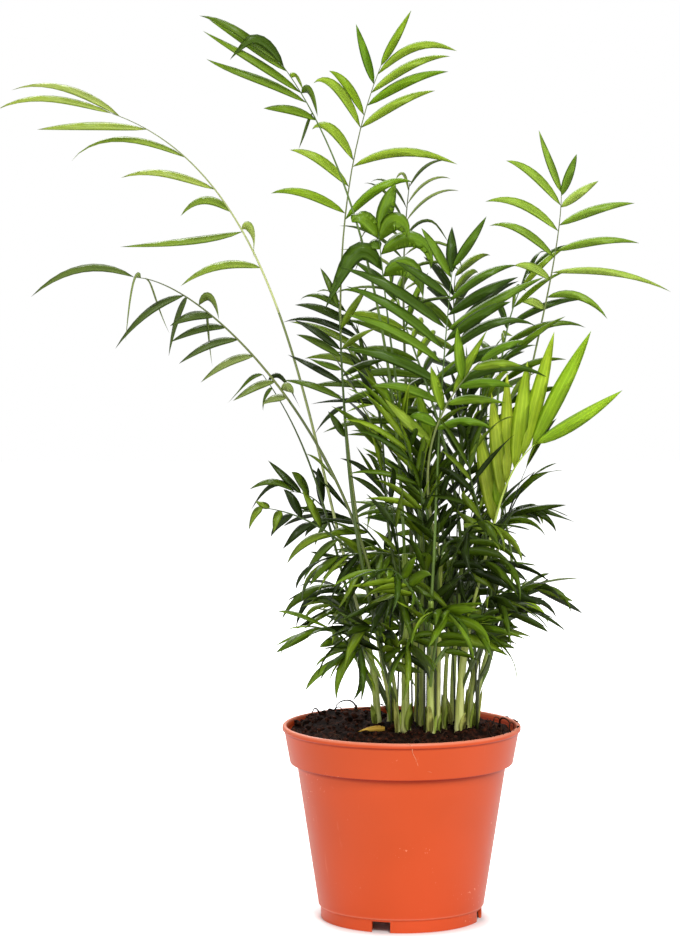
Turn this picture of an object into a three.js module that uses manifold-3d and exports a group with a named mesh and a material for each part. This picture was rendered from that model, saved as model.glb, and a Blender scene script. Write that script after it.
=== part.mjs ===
// Parlour palm: a clump of seedlings growing in a plastic nursery pot filled with peat.
// Millimetres, +Z up. The origin is the middle of the pot's flat underside, and -Y is the front.
// Every seedling has one short stem, and its fronds leave that stem's tip or side as thin blades.

import * as THREE from 'three';
import { mergeVertices } from 'three/addons/utils/BufferGeometryUtils.js';
import Module from 'manifold-3d';

const wasm = await Module();
wasm.setup();

// ---------------------------------------------------------------- driving dimensions

const CLEAR = 0.3; // gap between two pieces that meet
const SHORTEST_EDGE = 0.04;
const UP = new THREE.Vector3(0, 0, 1);

const POT = {
  height: 139,
  lipRadius: 85.3,
  lipHeight: 4,
  collarHeight: 27.5,
  collarTopRadius: 83.9,
  collarFootRadius: 79.8,
  bodyTopRadius: 74.9,
  bodyFootRadius: 59.4,
  footRadius: 57.8,
  footHeight: 8.6,
  wall: 1.6,
  padRadius: 18,
  floorLift: 8.2,
  ledge: 2, // how far the ledge inside rises above the collar's foot
  facets: 32,
};
const NOTCH = { count: 4, width: 13.5, height: 7.8, depth: 12, turn: -15.4 };
const DRAIN = { count: 4, radius: 4.5, ring: 36, facets: 6 };

const SOIL = { top: 135, edge: 133, flatRadius: 66 };

const DRY_SHEATH = { middle: [-22.5, -14], length: 20, width: 5, thick: 1.4, turn: 14 };

// One row for each seedling: where its foot stands, where its tip is, and how thick it is.
const STEMS = {
  a: { foot: [-17, 18], tip: [-27, 22, 206], radius: 3.0 },
  b: { foot: [-7, 32], tip: [-13, 38, 172], radius: 2.5 },
  c: { foot: [-3, -15], tip: [-13, -22, 205], radius: 1.8 },
  d: { foot: [3, -2], tip: [2, -4, 262], radius: 3.4 },
  e: { foot: [12, 25], tip: [8, 40, 240], radius: 2.2 },
  f: { foot: [15, 9], tip: [15, 13, 280], radius: 2.6 },
  g: { foot: [20, -22], tip: [20, -34, 232], radius: 2.9 },
  h: { foot: [26, -4], tip: [28, -8, 258], radius: 2.0 },
  i: { foot: [31, 7], tip: [36, 5, 226], radius: 1.8 },
  j: { foot: [37, 21], tip: [44, 30, 250], radius: 2.4 },
  k: { foot: [41, -9], tip: [50, -15, 226], radius: 3.4 },
  l: { foot: [49, 6], tip: [62, 4, 212], radius: 2.0 },
  m: { foot: [54, 18], tip: [72, 28, 214], radius: 1.8 },
  n: { foot: [48, 36], tip: [66, 56, 200], radius: 1.6 },
};
const STEM = { sides: 7, steps: 4, flare: 1.12, flareHeight: 12, taper: 0.66 };

const RIB = { sides: 3, steps: 8, footRadius: 1.35, tipRadius: 0.62 };
const FORK = { share: 0.05, spread: 0.4 }; // where on the first rib the second one leaves, and how steeply
const ROUTE_SAMPLES = 120; // points on each stem and rib that keep their distance
const ROUTE_SPARE = 0.7; // extra room between two of them
const SLIPS = [0, -0.08, 0.08, -0.16, -0.24];
const SWAYS = [0, 5, -5, 10, -10, 15, -15, 20, -20, 26, -26, 32, -32, 40, -40];

const LEAFLET = {
  thickShare: 0.013, // of its length
  leastThick: 0.9,
  // Stations along the leaflet, and the share of its width at each of them.
  full: { stations: [0, 0.25, 0.62, 1], widths: [0, 0.86, 0.8, 0] },
  plain: { stations: [0, 0.4, 1], widths: [0, 1, 0] },
  alternate: 0.012, // share of the rib between the two leaflets of a pair, and from the last to its end
  jitter: 5, // degrees
};
// What a leaflet tries, in turn, where it would touch another piece: a lift and a length.
const TRIES = [
  [0, 1], [10, 1], [-10, 1], [20, 0.95], [-20, 0.95], [32, 0.9], [-32, 0.9], [12, 0.65], [-14, 0.6],
];
const LEAST_LEAFLET = 12;

// ---------------------------------------------------------------- materials

const finish = (red, green, blue, roughness) =>
  new THREE.MeshStandardMaterial({
    color: new THREE.Color().setRGB(red / 255, green / 255, blue / 255, THREE.SRGBColorSpace),
    roughness,
    metalness: 0,
  });

const FINISHES = {
  plastic: finish(226, 92, 52, 0.42),
  peat: finish(52, 38, 31, 0.95),
  husk: finish(190, 152, 84, 0.7),
  stem: finish(126, 156, 72, 0.5),
  lime: finish(132, 180, 48, 0.45),
  green: finish(80, 134, 42, 0.4),
  dark: finish(42, 78, 32, 0.38),
};

// ---------------------------------------------------------------- solids

// A closed geometry as a solid: its shared corners are merged first.
function solidOf(geometry) {
  const bare = geometry.index ? geometry.toNonIndexed() : geometry.clone();
  bare.deleteAttribute('normal');
  bare.deleteAttribute('uv');
  const merged = mergeVertices(bare, 1e-4);
  return new wasm.Manifold(new wasm.Mesh({
    numProp: 3,
    vertProperties: new Float32Array(merged.attributes.position.array),
    triVerts: new Uint32Array(merged.index.array),
  }));
}

function meshOf(name, solid, material) {
  const faces = solid.getMesh();
  const geometry = new THREE.BufferGeometry();
  geometry.setAttribute('position', new THREE.BufferAttribute(faces.vertProperties, 3));
  geometry.setIndex(new THREE.BufferAttribute(faces.triVerts, 1));
  const mesh = new THREE.Mesh(geometry, material);
  mesh.name = name;
  return mesh;
}

// Moves every corner of a geometry to where place(corner) says.
function reshape(geometry, place) {
  const corners = geometry.attributes.position;
  const corner = new THREE.Vector3();
  for (let i = 0; i < corners.count; i += 1) {
    const moved = place(corner.fromBufferAttribute(corners, i));
    corners.setXYZ(i, moved.x, moved.y, moved.z);
  }
  return solidOf(geometry);
}

// A turned solid: the outline is [radius, height] pairs from axis to axis.
function turned(outline, facets) {
  const profile = outline.map(([radius, height]) => new THREE.Vector2(radius, height));
  const geometry = new THREE.LatheGeometry(profile, facets);
  geometry.rotateX(Math.PI / 2);
  return solidOf(geometry);
}

function boxesMeet(one, two) {
  return [0, 1, 2].every((axis) => one.min[axis] <= two.max[axis] && two.min[axis] <= one.max[axis]);
}

function solidsMeet(one, two) {
  const shared = one.intersect(two);
  const meet = !shared.isEmpty();
  shared.delete();
  return meet;
}

// The outer shell of a fused solid, without its shortest edges. It fills a hollow that fusing sealed.
function outerShell(solid) {
  const tidy = solid.simplify(SHORTEST_EDGE);
  return tidy.decompose().reduce((most, shell) => (shell.volume() > most.volume() ? shell : most));
}

const joined = (solids) => solids.reduce((whole, solid) => whole.add(solid));

function seeded(seed) {
  let state = seed;
  return () => {
    state = (state * 48271) % 2147483647;
    return state / 2147483647;
  };
}

// A direction from its lean off the vertical and its heading in plan, in degrees: 0 is +X, 90 is +Y.
function direction(lean, heading) {
  const tilt = THREE.MathUtils.degToRad(lean);
  const turn = THREE.MathUtils.degToRad(heading);
  return new THREE.Vector3(
    Math.sin(tilt) * Math.cos(turn),
    Math.sin(tilt) * Math.sin(turn),
    Math.cos(tilt),
  );
}

// ---------------------------------------------------------------- pot and soil

function buildPot() {
  const collarFoot = POT.height - POT.collarHeight;
  const lipFoot = POT.height - POT.lipHeight;
  const floorTop = POT.floorLift + POT.wall;
  const shell = turned([
    [0, 0],
    [POT.padRadius, 0],
    [POT.padRadius + 2, POT.floorLift],
    [POT.footRadius - 2 * POT.wall, POT.floorLift],
    [POT.footRadius - POT.wall, 0],
    [POT.footRadius, 0],
    [POT.footRadius, POT.footHeight],
    [POT.bodyFootRadius, POT.footHeight + 1.2],
    [POT.bodyTopRadius, collarFoot],
    [POT.collarFootRadius, collarFoot + 0.8],
    [POT.collarTopRadius, lipFoot],
    [POT.lipRadius, lipFoot + 0.7],
    [POT.lipRadius, POT.height - 1],
    [POT.lipRadius - 1, POT.height],
    [POT.collarTopRadius - POT.wall, POT.height],
    [POT.collarFootRadius - POT.wall, collarFoot + POT.ledge],
    [POT.bodyTopRadius - POT.wall, collarFoot - 1],
    [POT.bodyFootRadius - POT.wall, floorTop],
    [POT.padRadius + 1, floorTop],
    [POT.padRadius - 1, POT.wall],
    [0, POT.wall],
  ], POT.facets);
  const notches = [];
  for (let k = 0; k < NOTCH.count; k += 1) {
    const notch = new THREE.BoxGeometry(NOTCH.width, NOTCH.depth, 2 * NOTCH.height);
    notch.translate(0, -POT.footRadius, 0);
    notch.rotateZ(THREE.MathUtils.degToRad(NOTCH.turn + (360 * k) / NOTCH.count));
    notches.push(solidOf(notch));
  }
  for (let k = 0; k < DRAIN.count; k += 1) {
    const hole = new THREE.CylinderGeometry(DRAIN.radius, DRAIN.radius, 4 * floorTop, DRAIN.facets);
    hole.rotateX(Math.PI / 2);
    hole.translate(DRAIN.ring, 0, 0);
    hole.rotateZ((2 * Math.PI * k) / DRAIN.count);
    notches.push(solidOf(hole));
  }
  return notches.reduce((pot, notch) => pot.subtract(notch), shell);
}

// The peat fills the pot to just under its lip, with a flat top where the seedlings stand.
function buildSoil() {
  const inner = POT.wall + CLEAR;
  const collarFoot = POT.height - POT.collarHeight;
  const floor = POT.floorLift + POT.wall + CLEAR;
  const ledge = collarFoot + POT.ledge;
  const rise = (SOIL.edge - ledge) / (POT.height - ledge);
  const edgeRadius = THREE.MathUtils.lerp(POT.collarFootRadius, POT.collarTopRadius, rise);
  return turned([
    [0, floor],
    [POT.bodyFootRadius - inner, floor],
    [POT.bodyTopRadius - inner, ledge - POT.ledge - 1],
    [POT.collarFootRadius - inner, ledge + CLEAR],
    [edgeRadius - inner, SOIL.edge],
    [SOIL.flatRadius, SOIL.top],
    [0, SOIL.top],
  ], POT.facets);
}

// A dropped leaf sheath that lies on the peat: a flat crescent, pointed at both ends.
function buildDrySheath() {
  const { middle, length, width, thick, turn } = DRY_SHEATH;
  const outline = new THREE.Shape();
  outline.moveTo(-length / 2, 0);
  outline.quadraticCurveTo(0, width, length / 2, 0);
  outline.quadraticCurveTo(0, -0.5 * width, -length / 2, 0);
  const husk = new THREE.ExtrudeGeometry(outline, { depth: thick, bevelEnabled: false, curveSegments: 4 });
  husk.rotateZ(THREE.MathUtils.degToRad(turn));
  husk.translate(middle[0], middle[1], SOIL.top + CLEAR);
  return solidOf(husk);
}

// ---------------------------------------------------------------- stems

// The middle line of a stem rises straight from the soil and leans towards its tip.
function stemLine({ foot, tip }) {
  const ground = SOIL.top + CLEAR;
  return new THREE.QuadraticBezierCurve3(
    new THREE.Vector3(foot[0], foot[1], ground),
    new THREE.Vector3(foot[0], foot[1], (ground + tip[2]) / 2),
    new THREE.Vector3(...tip),
  );
}

function stemRadius({ foot, tip, radius }, share) {
  const rise = share * (tip[2] - SOIL.top);
  const flare = Math.max(0, 1 - rise / STEM.flareHeight) * (STEM.flare - 1);
  return radius * (flare + THREE.MathUtils.lerp(1, STEM.taper, share));
}

// Its sections stay level, so the foot is a flat cut at ground level.
function buildStem(stem) {
  const line = stemLine(stem);
  const tube = new THREE.CylinderGeometry(1, 1, 1, STEM.sides, STEM.steps);
  tube.rotateX(Math.PI / 2);
  return reshape(tube, (corner) => {
    const share = (corner.z + 0.5) ** 1.5;
    const middle = line.getPoint(share);
    const radius = stemRadius(stem, share);
    return middle.add(new THREE.Vector3(corner.x * radius, corner.y * radius, 0));
  });
}

// ---------------------------------------------------------------- routes

// Stems and ribs whose sampled points keep clear of each other.
const routes = [];

function sampled(line, radiusAt) {
  const samples = [];
  for (let k = 0; k <= ROUTE_SAMPLES; k += 1) {
    const share = k / ROUTE_SAMPLES;
    samples.push({ at: line.getPoint(share), radius: radiusAt(share) });
  }
  return samples;
}

function routeIsClear(samples, { node, stem, at }) {
  return routes.every((route) => {
    const ownStem = route.stem === stem && !route.node;
    if (route.node === node || (ownStem && at === 1)) return true;
    const spare = ownStem ? 0.3 * CLEAR : ROUTE_SPARE;
    return samples.every(({ at, radius }) => route.samples.every((other) => {
      const room = radius + other.radius + spare;
      return at.distanceToSquared(other.at) >= room * room;
    }));
  });
}

// ---------------------------------------------------------------- fronds

const ribRadius = (share) => THREE.MathUtils.lerp(RIB.footRadius, RIB.tipRadius, share);

// Where a frond leaves its stem: the tip, or the side that faces the way it leans.
function frondFoot({ stem, at, leave }) {
  const row = STEMS[stem];
  const point = stemLine(row).getPoint(at);
  const [lean, heading] = leave;
  if (at === 1) {
    const dip = RIB.footRadius * Math.sin(THREE.MathUtils.degToRad(lean));
    return point.addScaledVector(UP, CLEAR + dip);
  }
  const along = stemLine(row).getTangent(at);
  const outward = direction(90, heading);
  outward.addScaledVector(along, -outward.dot(along)).normalize();
  return point.addScaledVector(outward, stemRadius(row, at) + CLEAR + RIB.footRadius);
}

// The direction in which a frond sets off: off the tip as it says, off the side a lean away from the stem.
function frondStart({ stem, at, leave }) {
  const [lean, heading] = leave;
  if (at === 1) return direction(lean, heading);
  const away = Math.tan(THREE.MathUtils.degToRad(lean));
  return stemLine(STEMS[stem]).getTangent(at).addScaledVector(direction(90, heading), away).normalize();
}

// Where a forked frond's second rib leaves the first one, and the direction in which it sets off.
function forkStart(partner, heading) {
  const ahead = partner.getTangent(FORK.share);
  return [
    partner.getPoint(FORK.share),
    ahead.addScaledVector(direction(90, heading), FORK.spread).normalize(),
  ];
}

// The rib's middle line: it leaves along one direction and arrives along another.
// The sway pushes it sideways between its two ends.
function ribLine(frond, partner, sway) {
  const [foot, start] = partner
    ? forkStart(partner, frond.arrive[1])
    : [frondFoot(frond), frondStart(frond)];
  const tip = new THREE.Vector3(...frond.tip);
  const chord = foot.distanceTo(tip);
  const aside = new THREE.Vector3(foot.y - tip.y, tip.x - foot.x, 0).normalize().multiplyScalar(sway);
  const { straight = 0.4, tail = 0.3 } = frond;
  const first = foot.clone().addScaledVector(start, straight * chord).add(aside);
  const second = tip.clone().addScaledVector(direction(...frond.arrive), -tail * chord).add(aside);
  return new THREE.CubicBezierCurve3(foot, first, second, tip);
}

// Tries the frond's own foot first, then feet a little lower or higher on the stem's side.
function clearRibLine(frond) {
  const partner = routes.find(({ node }) => node === frond.node);
  const slips = partner || frond.at === 1 ? [0] : SLIPS;
  for (const slip of slips) {
    for (const sway of SWAYS) {
      const line = ribLine({ ...frond, at: frond.at + slip }, partner?.line, sway);
      const samples = sampled(line, ribRadius);
      if (routeIsClear(samples, frond)) {
        routes.push({ stem: frond.stem, node: frond.node, line, samples });
        return line;
      }
    }
  }
  throw new Error(`${frond.name} finds no clear way through the clump`);
}

// The rib as evenly spaced points with their frames: ahead, across and the upper side.
function ribFrames(line, spread) {
  const frames = [];
  for (let k = 0; k <= RIB.steps; k += 1) {
    const ahead = line.getTangent(k / RIB.steps);
    const level = direction(90, spread);
    const across = level.clone().addScaledVector(ahead, -level.dot(ahead)).normalize();
    const over = new THREE.Vector3().crossVectors(across, ahead).normalize();
    frames.push({ at: line.getPoint(k / RIB.steps), ahead, across, over });
  }
  return frames;
}

function frameAt(frames, share) {
  const place = THREE.MathUtils.clamp(share, 0, 1) * RIB.steps;
  const before = Math.min(Math.floor(place), RIB.steps - 1);
  const part = place - before;
  const mixed = {};
  for (const key of ['at', 'ahead', 'across', 'over']) {
    mixed[key] = frames[before][key].clone().lerp(frames[before + 1][key], part);
  }
  return mixed;
}

// A stretch of the rib from one share of its length to another, as a three-sided tapering rod.
// Its ridge runs along the upper side, which faces the stem where the frond leaves it.
function buildRib(frames, from, to) {
  const steps = Math.max(2, Math.round((to - from) * RIB.steps));
  const rod = new THREE.CylinderGeometry(1, 1, 1, RIB.sides, steps);
  rod.rotateX(Math.PI / 2);
  return reshape(rod, (corner) => {
    const share = THREE.MathUtils.lerp(from, to, corner.z + 0.5);
    const { at, across, over } = frameAt(frames, share);
    const radius = ribRadius(share);
    return at.addScaledVector(across, corner.x * radius).addScaledVector(over, -corner.y * radius);
  });
}

// One leaflet: a three-sided blade with pointed ends and a ridge, bent along its length.
// Growing it makes the fatter copy that the clearance test uses.
function buildLeaflet({ root, ahead, wide, length, width, bend, stations, widths }, grow = 0) {
  const rings = stations.length - 1;
  const thick = Math.max(LEAFLET.leastThick, LEAFLET.thickShare * length) + 2 * grow;
  const bud = new THREE.SphereGeometry(1, 3, rings);
  return reshape(bud, (corner) => {
    const ring = Math.round((Math.acos(THREE.MathUtils.clamp(corner.y, -1, 1)) / Math.PI) * rings);
    const share = stations[ring];
    const reach = length * share + grow * (2 * share - 1);
    const tangent = ahead.clone().addScaledVector(bend, 2 * share).normalize();
    const ridge = new THREE.Vector3().crossVectors(wide, tangent).normalize();
    const spot = root.clone().addScaledVector(ahead, reach).addScaledVector(bend, length * share * share);
    if (ring === 0 || ring === rings) return spot;
    const turn = Math.atan2(corner.z, corner.x);
    const half = 0.5 * width * widths[ring] + grow;
    spot.addScaledVector(wide, (half * Math.sin(turn)) / Math.sin(Math.PI / 3));
    return spot.addScaledVector(ridge, (thick * (Math.cos(turn) + 0.5)) / 1.5 - thick / 3);
  });
}

// The places and directions of all leaflets on a frond, from its named sizes.
function leafletRows(frond, frames) {
  const { bare, pairs, reach, width, open, close, fold, arch, sag, last, plain, leaves, face } = frond;
  const { stations, widths } = plain ? LEAFLET.plain : LEAFLET.full;
  if (leaves) {
    return leaves.map(([share, tip, droop]) => (
      { share, tip, droop, width, face, frame: frameAt(frames, share), stations, widths }));
  }
  const random = seeded(frond.seed);
  const rows = [];
  for (let k = 0; k <= pairs; k += 1) {
    const along = k / pairs;
    for (const side of [-1, 1]) {
      const share = THREE.MathUtils.lerp(bare, 1, along) - LEAFLET.alternate * (side > 0 ? 1 : 2);
      const angle = THREE.MathUtils.lerp(open, close, along) + LEAFLET.jitter * (2 * random() - 1);
      const swell = 0.62 + 0.38 * Math.sin(Math.PI * (0.12 + 0.7 * along));
      const length = reach * (k === pairs ? last : swell) * (0.9 + 0.2 * random());
      const droop = sag * (0.7 + 0.6 * random());
      const frame = frameAt(frames, share);
      rows.push({ share, side, angle, length, width, fold, arch, droop, frame, stations, widths });
    }
  }
  return rows;
}

// How far a leaflet reaches, its direction out, the direction of its width and the way it bends.
function leafletCourse(row, lift) {
  const { ahead, across, over, at } = row.frame;
  if (row.tip) {
    const [x, behind, z] = row.tip;
    const chord = new THREE.Vector3(x, at.y + behind, z).sub(at);
    const length = chord.length();
    const bend = UP.clone().multiplyScalar(-row.droop);
    const way = chord.divideScalar(length).sub(bend);
    way.y += Math.sin(THREE.MathUtils.degToRad(lift));
    return { length, way, wide: way.clone().cross(direction(...row.face)).normalize(), bend };
  }
  const angle = THREE.MathUtils.degToRad(row.angle);
  const fold = THREE.MathUtils.degToRad(row.fold - lift);
  const aside = across.clone().multiplyScalar(row.side * Math.cos(fold))
    .addScaledVector(over, -Math.sin(fold));
  const way = ahead.clone().multiplyScalar(Math.cos(angle))
    .addScaledVector(aside, Math.sin(angle)).normalize();
  const wide = ahead.clone().addScaledVector(way, -ahead.dot(way)).normalize().multiplyScalar(-row.side);
  const bend = aside.multiplyScalar(row.arch).addScaledVector(UP, -row.droop);
  return { length: row.length, way, wide, bend };
}

function placeLeaflet(row, lift, stretch) {
  const { length, way, wide, bend } = leafletCourse(row, lift);
  const sunk = 0.3 * ribRadius(row.share);
  return {
    root: row.frame.at.clone().addScaledVector(way.clone().normalize(), -sunk),
    ahead: way,
    wide,
    length: length * stretch,
    width: row.width * Math.sqrt(stretch),
    bend,
    stations: row.stations,
    widths: row.widths,
  };
}

// Every solid placed so far, with the node that it belongs to.
const placed = [];

function remember(node, solid) {
  placed.push({ node, solid, box: solid.boundingBox() });
}

function isClear(solid, node) {
  const box = solid.boundingBox();
  return !placed.some((piece) => (
    piece.node !== node && boxesMeet(piece.box, box) && solidsMeet(piece.solid, solid)));
}

function growLeaflets({ frond, frames, rib }) {
  let blade = rib;
  for (const row of leafletRows(frond, frames)) {
    for (const [lift, stretch] of TRIES) {
      const leaflet = placeLeaflet(row, lift, stretch);
      if (leaflet.length < LEAST_LEAFLET) continue;
      const fat = buildLeaflet(leaflet, CLEAR);
      const clear = isClear(fat, frond.node);
      fat.delete();
      if (clear) {
        const solid = buildLeaflet(leaflet);
        remember(frond.node, solid);
        blade = blade.add(solid);
        break;
      }
    }
  }
  return blade;
}

// Each row is one frond. stem and at say where it leaves; leave and arrive are the rib's
// directions at its two ends, as [lean, heading]; spread is the heading its leaflets spread along.
// bare is the share of the rib with no leaflets, and petiole the share that is a piece of its own.
// Where the leaflets stand out one by one, leaves gives each its share of the rib, its tip as
// [x, how far behind the rib, z] and its sag, and face is the way their upper sides look.
const WEST = 180;
const EAST = 0;
const BACK = 90;
const FRONT = 270;

const KIND = {
  high: {
    bare: 0.5, pairs: 7, reach: 62, width: 6.5, open: 70, close: 16, fold: 18, arch: 0.1, sag: 0.2,
    last: 0.8,
  },
  middle: {
    bare: 0.4, pairs: 7, reach: 58, width: 5.6, open: 44, close: 14, fold: 22, arch: 0.1, sag: 0.16,
    last: 0.8, plain: true,
  },
  low: {
    bare: 0.34, pairs: 4, reach: 42, width: 7.5, open: 62, close: 18, fold: 26, arch: 0.08, sag: 0.28,
    last: 0.9, plain: true,
  },
};

const FRONDS = [
  {
    name: 'frond_west_high', kind: 'high', tone: 'lime', stem: 'a', at: 1, tip: [-203, -20, 573],
    leave: [17, WEST], arrive: [71, WEST], straight: 0.35, tail: 0.32, width: 7, petiole: 0.52,
    face: [48, FRONT],
    leaves: [
      [1, [-285, -8, 582], 0.3], [0.985, [-276, 12, 592], 0.5], [0.93, [-255, -8, 560], 0.2],
      [0.84, [-240, 14, 548], 0.5], [0.76, [-198, -10, 533], 0.3], [0.71, [-158, 12, 503], 1],
      [0.67, [-199, -5, 482], -0.1], [0.675, [-101, -10, 472], 1.6], [0.6, [-158, 8, 453], 0.55],
    ],
  },
  {
    name: 'frond_west_drooping', kind: 'high', tone: 'green', stem: 'c', at: 1, tip: [-185, -70, 460],
    leave: [8, WEST], arrive: [90, WEST], straight: 0.47, tail: 0.15, width: 6.5, petiole: 0.45,
    face: [60, FRONT],
    leaves: [
      [1, [-257, 4, 447], 0.7], [0.97, [-190, -16, 417], 1.4], [0.95, [-166, 14, 418], 1],
      [0.8, [-199, -14, 412], 0.5], [0.79, [-164, 12, 405], 0.7], [0.75, [-126, -12, 430], 2],
      [0.72, [-134, 12, 397], 0.8], [0.7, [-161, -10, 425], 0.6], [0.66, [-161, 10, 413], 0.5],
      [0.62, [-155, -8, 399], 0.5], [0.57, [-141, 8, 386], 0.5], [0.5, [-118, -8, 372], 0.5],
      [0.46, [-100, 8, 371], 0.4], [0.48, [-76, -8, 378], 1.2],
    ],
  },
  {
    name: 'frond_west_middle', kind: 'middle', tone: 'dark', stem: 'a', at: 0.8, tip: [-98, -30, 391],
    leave: [4, WEST], arrive: [36, WEST], width: 5, face: [50, FRONT],
    leaves: [
      [1, [-120, -4, 369], 0.9], [0.97, [-74, 4, 366], 1.8], [0.94, [-101, 4, 366], 0.9],
    ],
  },
  {
    name: 'frond_west_low', kind: 'low', tone: 'dark', stem: 'd', at: 0.72, tip: [-98, -36, 298],
    leave: [38, WEST], arrive: [84, WEST], width: 6.5, face: [50, FRONT],
    leaves: [
      [1, [-109, -4, 283], 0.9], [0.96, [-104, 6, 303], 0.3], [0.88, [-91, -8, 281], 0.8],
      [0.8, [-95, 8, 277], 0.5], [0.74, [-84, 8, 311], 0.3], [0.66, [-83, -8, 267], 0.7],
      [0.6, [-70, -6, 310], 0.2], [0.54, [-84, 8, 257], 0.5], [0.48, [-72, -6, 245], 0.5],
    ],
  },
  {
    name: 'frond_west_low_back', kind: 'low', tone: 'dark', stem: 'b', at: 0.7, tip: [-81, 34, 303],
    leave: [16, WEST], arrive: [92, WEST], width: 6, face: [50, FRONT],
    leaves: [
      [0.97, [-109, -4, 304], 0.9], [0.93, [-96, 6, 326], 0], [0.95, [-109, 4, 289], 1.4],
      [0.88, [-79, -8, 318], 0.5], [0.84, [-74, 8, 282], 0.5], [0.78, [-60, -6, 322], 0.3],
      [0.7, [-64, 8, 262], 0.5],
    ],
  },
  {
    name: 'frond_top_west', kind: 'high', tone: 'green', stem: 'd', at: 1, tip: [-86, 30, 610],
    leave: [2, WEST], arrive: [37, WEST], straight: 0.46, tail: 0.23, width: 7, face: [60, FRONT],
    leaves: [
      [1, [-144, -6, 650], 0.1], [0.97, [-138, 12, 642], 0.1], [0.9, [-144, -10, 630], 0.2],
      [0.87, [-142, 10, 606], 0.3], [0.985, [-122, -14, 612], 1.7], [0.95, [-71, 10, 590], 1.9],
      [0.9, [-60, -12, 572], 1.6], [0.84, [-72, 10, 548], 1], [0.82, [-100, -10, 575], 0.5],
    ],
  },
  {
    name: 'frond_top', kind: 'high', tone: 'lime', stem: 'b', at: 1, tip: [-15, 30, 608],
    leave: [10, WEST], arrive: [22, EAST], straight: 0.22, tail: 0.35, width: 7, face: [75, FRONT],
    leaves: [
      [1, [7, 6, 648], 0.05], [0.97, [-33, -6, 638], 0.1], [0.985, [40, -8, 616], 0.9],
      [0.955, [36, 10, 617], 0.4], [0.935, [33, -10, 605], 0.3], [0.92, [-52, 8, 605], 0.6],
      [0.9, [-64, -12, 597], 1], [0.9, [25, 10, 592], 0.3], [0.85, [-66, 8, 566], 1],
      [0.84, [41, -10, 535], 0.6], [0.81, [-80, -8, 549], 0.5], [0.77, [-96, 8, 520], 0.4],
      [0.76, [10, 10, 528], 0.6],
    ],
  },
  {
    name: 'frond_east_high', kind: 'high', tone: 'green', stem: 'm', at: 1, tip: [115, 40, 518],
    leave: [17, WEST], arrive: [0, EAST], straight: 0.2, tail: 0.24, width: 6.5, face: [72, FRONT],
    leaves: [
      [1, [98, 6, 563], 0.05], [0.99, [126, -8, 547], 0], [0.955, [143, 6, 528], 0.1],
      [0.96, [74, -10, 541], 0.5], [0.905, [169, 8, 511], 0.25], [0.89, [60, -10, 512], 0.6],
      [0.84, [172, -8, 484], 0.25], [0.825, [62, 8, 497], 0.55], [0.79, [197, 6, 448], 0.3],
      [0.775, [80, -10, 466], 0.5], [0.735, [150, -8, 429], 0.7], [0.71, [84, 12, 440], 0.6],
    ],
  },
  {
    name: 'frond_east_fan', kind: 'high', tone: 'lime', stem: 'k', at: 1, tip: [92, -40, 343],
    leave: [15, EAST], arrive: [48, EAST], straight: 0.6, tail: 0.25, width: 11, face: [82, FRONT],
    leaves: [
      [1, [154, 4, 381], -0.1], [0.97, [131, -6, 423], 0.05], [0.86, [106, 6, 422], 0.05],
      [0.74, [87, -8, 402], 0], [0.6, [73, 6, 393], 0], [0.5, [62, -8, 379], 0.05],
      [0.42, [66, 8, 368], 0.1], [0.34, [52, -4, 356], 0.1],
    ],
  },
  {
    name: 'frond_centre_broad', kind: 'high', tone: 'dark', stem: 'g', at: 1, tip: [34, -44, 466],
    leave: [4, EAST], arrive: [6, EAST], straight: 0.28, tail: 0.5, width: 7.5, face: [70, FRONT],
    leaves: [
      [1, [58, -6, 502], 0], [0.99, [34, 8, 495], 0], [0.98, [12, -4, 494], 0.15],
      [0.94, [-6, 14, 471], 0.15], [0.93, [81, 8, 470], 0.35], [0.9, [79, -10, 461], 0.15],
      [0.87, [-43, 4, 466], 0.3], [0.865, [99, 10, 460], 0.1], [0.84, [76, -14, 443], 0.3],
      [0.82, [-40, 16, 450], 0.4], [0.8, [94, 6, 427], 0.7], [0.785, [-41, -8, 433], 0.35],
      [0.75, [84, -8, 412], 0.4], [0.73, [-43, 8, 407], 0.4], [0.7, [101, 6, 390], 0.7],
      [0.68, [-24, -12, 384], 0.4],
    ],
  },
  {
    name: 'frond_centre_bright', kind: 'middle', tone: 'lime', stem: 'h', at: 1, tip: [52, -70, 402],
    leave: [14, WEST], arrive: [41, EAST], width: 7.5, face: [66, FRONT],
    leaves: [
      [1, [84, -6, 418], 0.3], [0.95, [82, 8, 398], 0.4], [0.88, [36, -8, 427], 0.05],
      [0.84, [76, -10, 384], 0.4], [0.8, [58, 8, 424], 0.2], [0.74, [70, 8, 370], 0.5],
      [0.7, [18, -8, 400], 0.3], [0.62, [2, 8, 362], 0.6], [0.6, [62, -8, 356], 0.5],
      [0.54, [-14, -8, 376], -0.1], [0.5, [8, 8, 386], 0.2],
    ],
  },
  {
    name: 'frond_back_fine', kind: 'high', tone: 'green', stem: 'e', at: 1, tip: [7, 90, 525],
    spread: EAST, pairs: 6, leave: [8, BACK], arrive: [7, EAST], bare: 0.66, reach: 68, width: 3.6,
    open: 62, fold: 10, sag: 0.6,
  },
  {
    name: 'frond_centre_west', kind: 'high', tone: 'green', stem: 'f', at: 1, tip: [-17, -20, 490],
    leave: [12, WEST], arrive: [6, WEST], width: 12, face: [60, FRONT],
    leaves: [
      [1, [-6, 8, 524], 0.3], [0.98, [-40, -6, 503], 1.3], [0.97, [14, -8, 496], 1.1],
      [0.94, [-30, 10, 468], 1.6], [0.92, [22, 10, 474], 1.2], [0.86, [-52, -10, 434], 2.2],
      [0.84, [12, -10, 452], 0.6],
    ],
  },
  {
    name: 'frond_west_inner', kind: 'middle', tone: 'dark', stem: 'c', at: 0.8, tip: [-45, -22, 440],
    spread: EAST, leave: [4, WEST], arrive: [3, WEST], width: 5.5, face: [60, FRONT],
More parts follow.
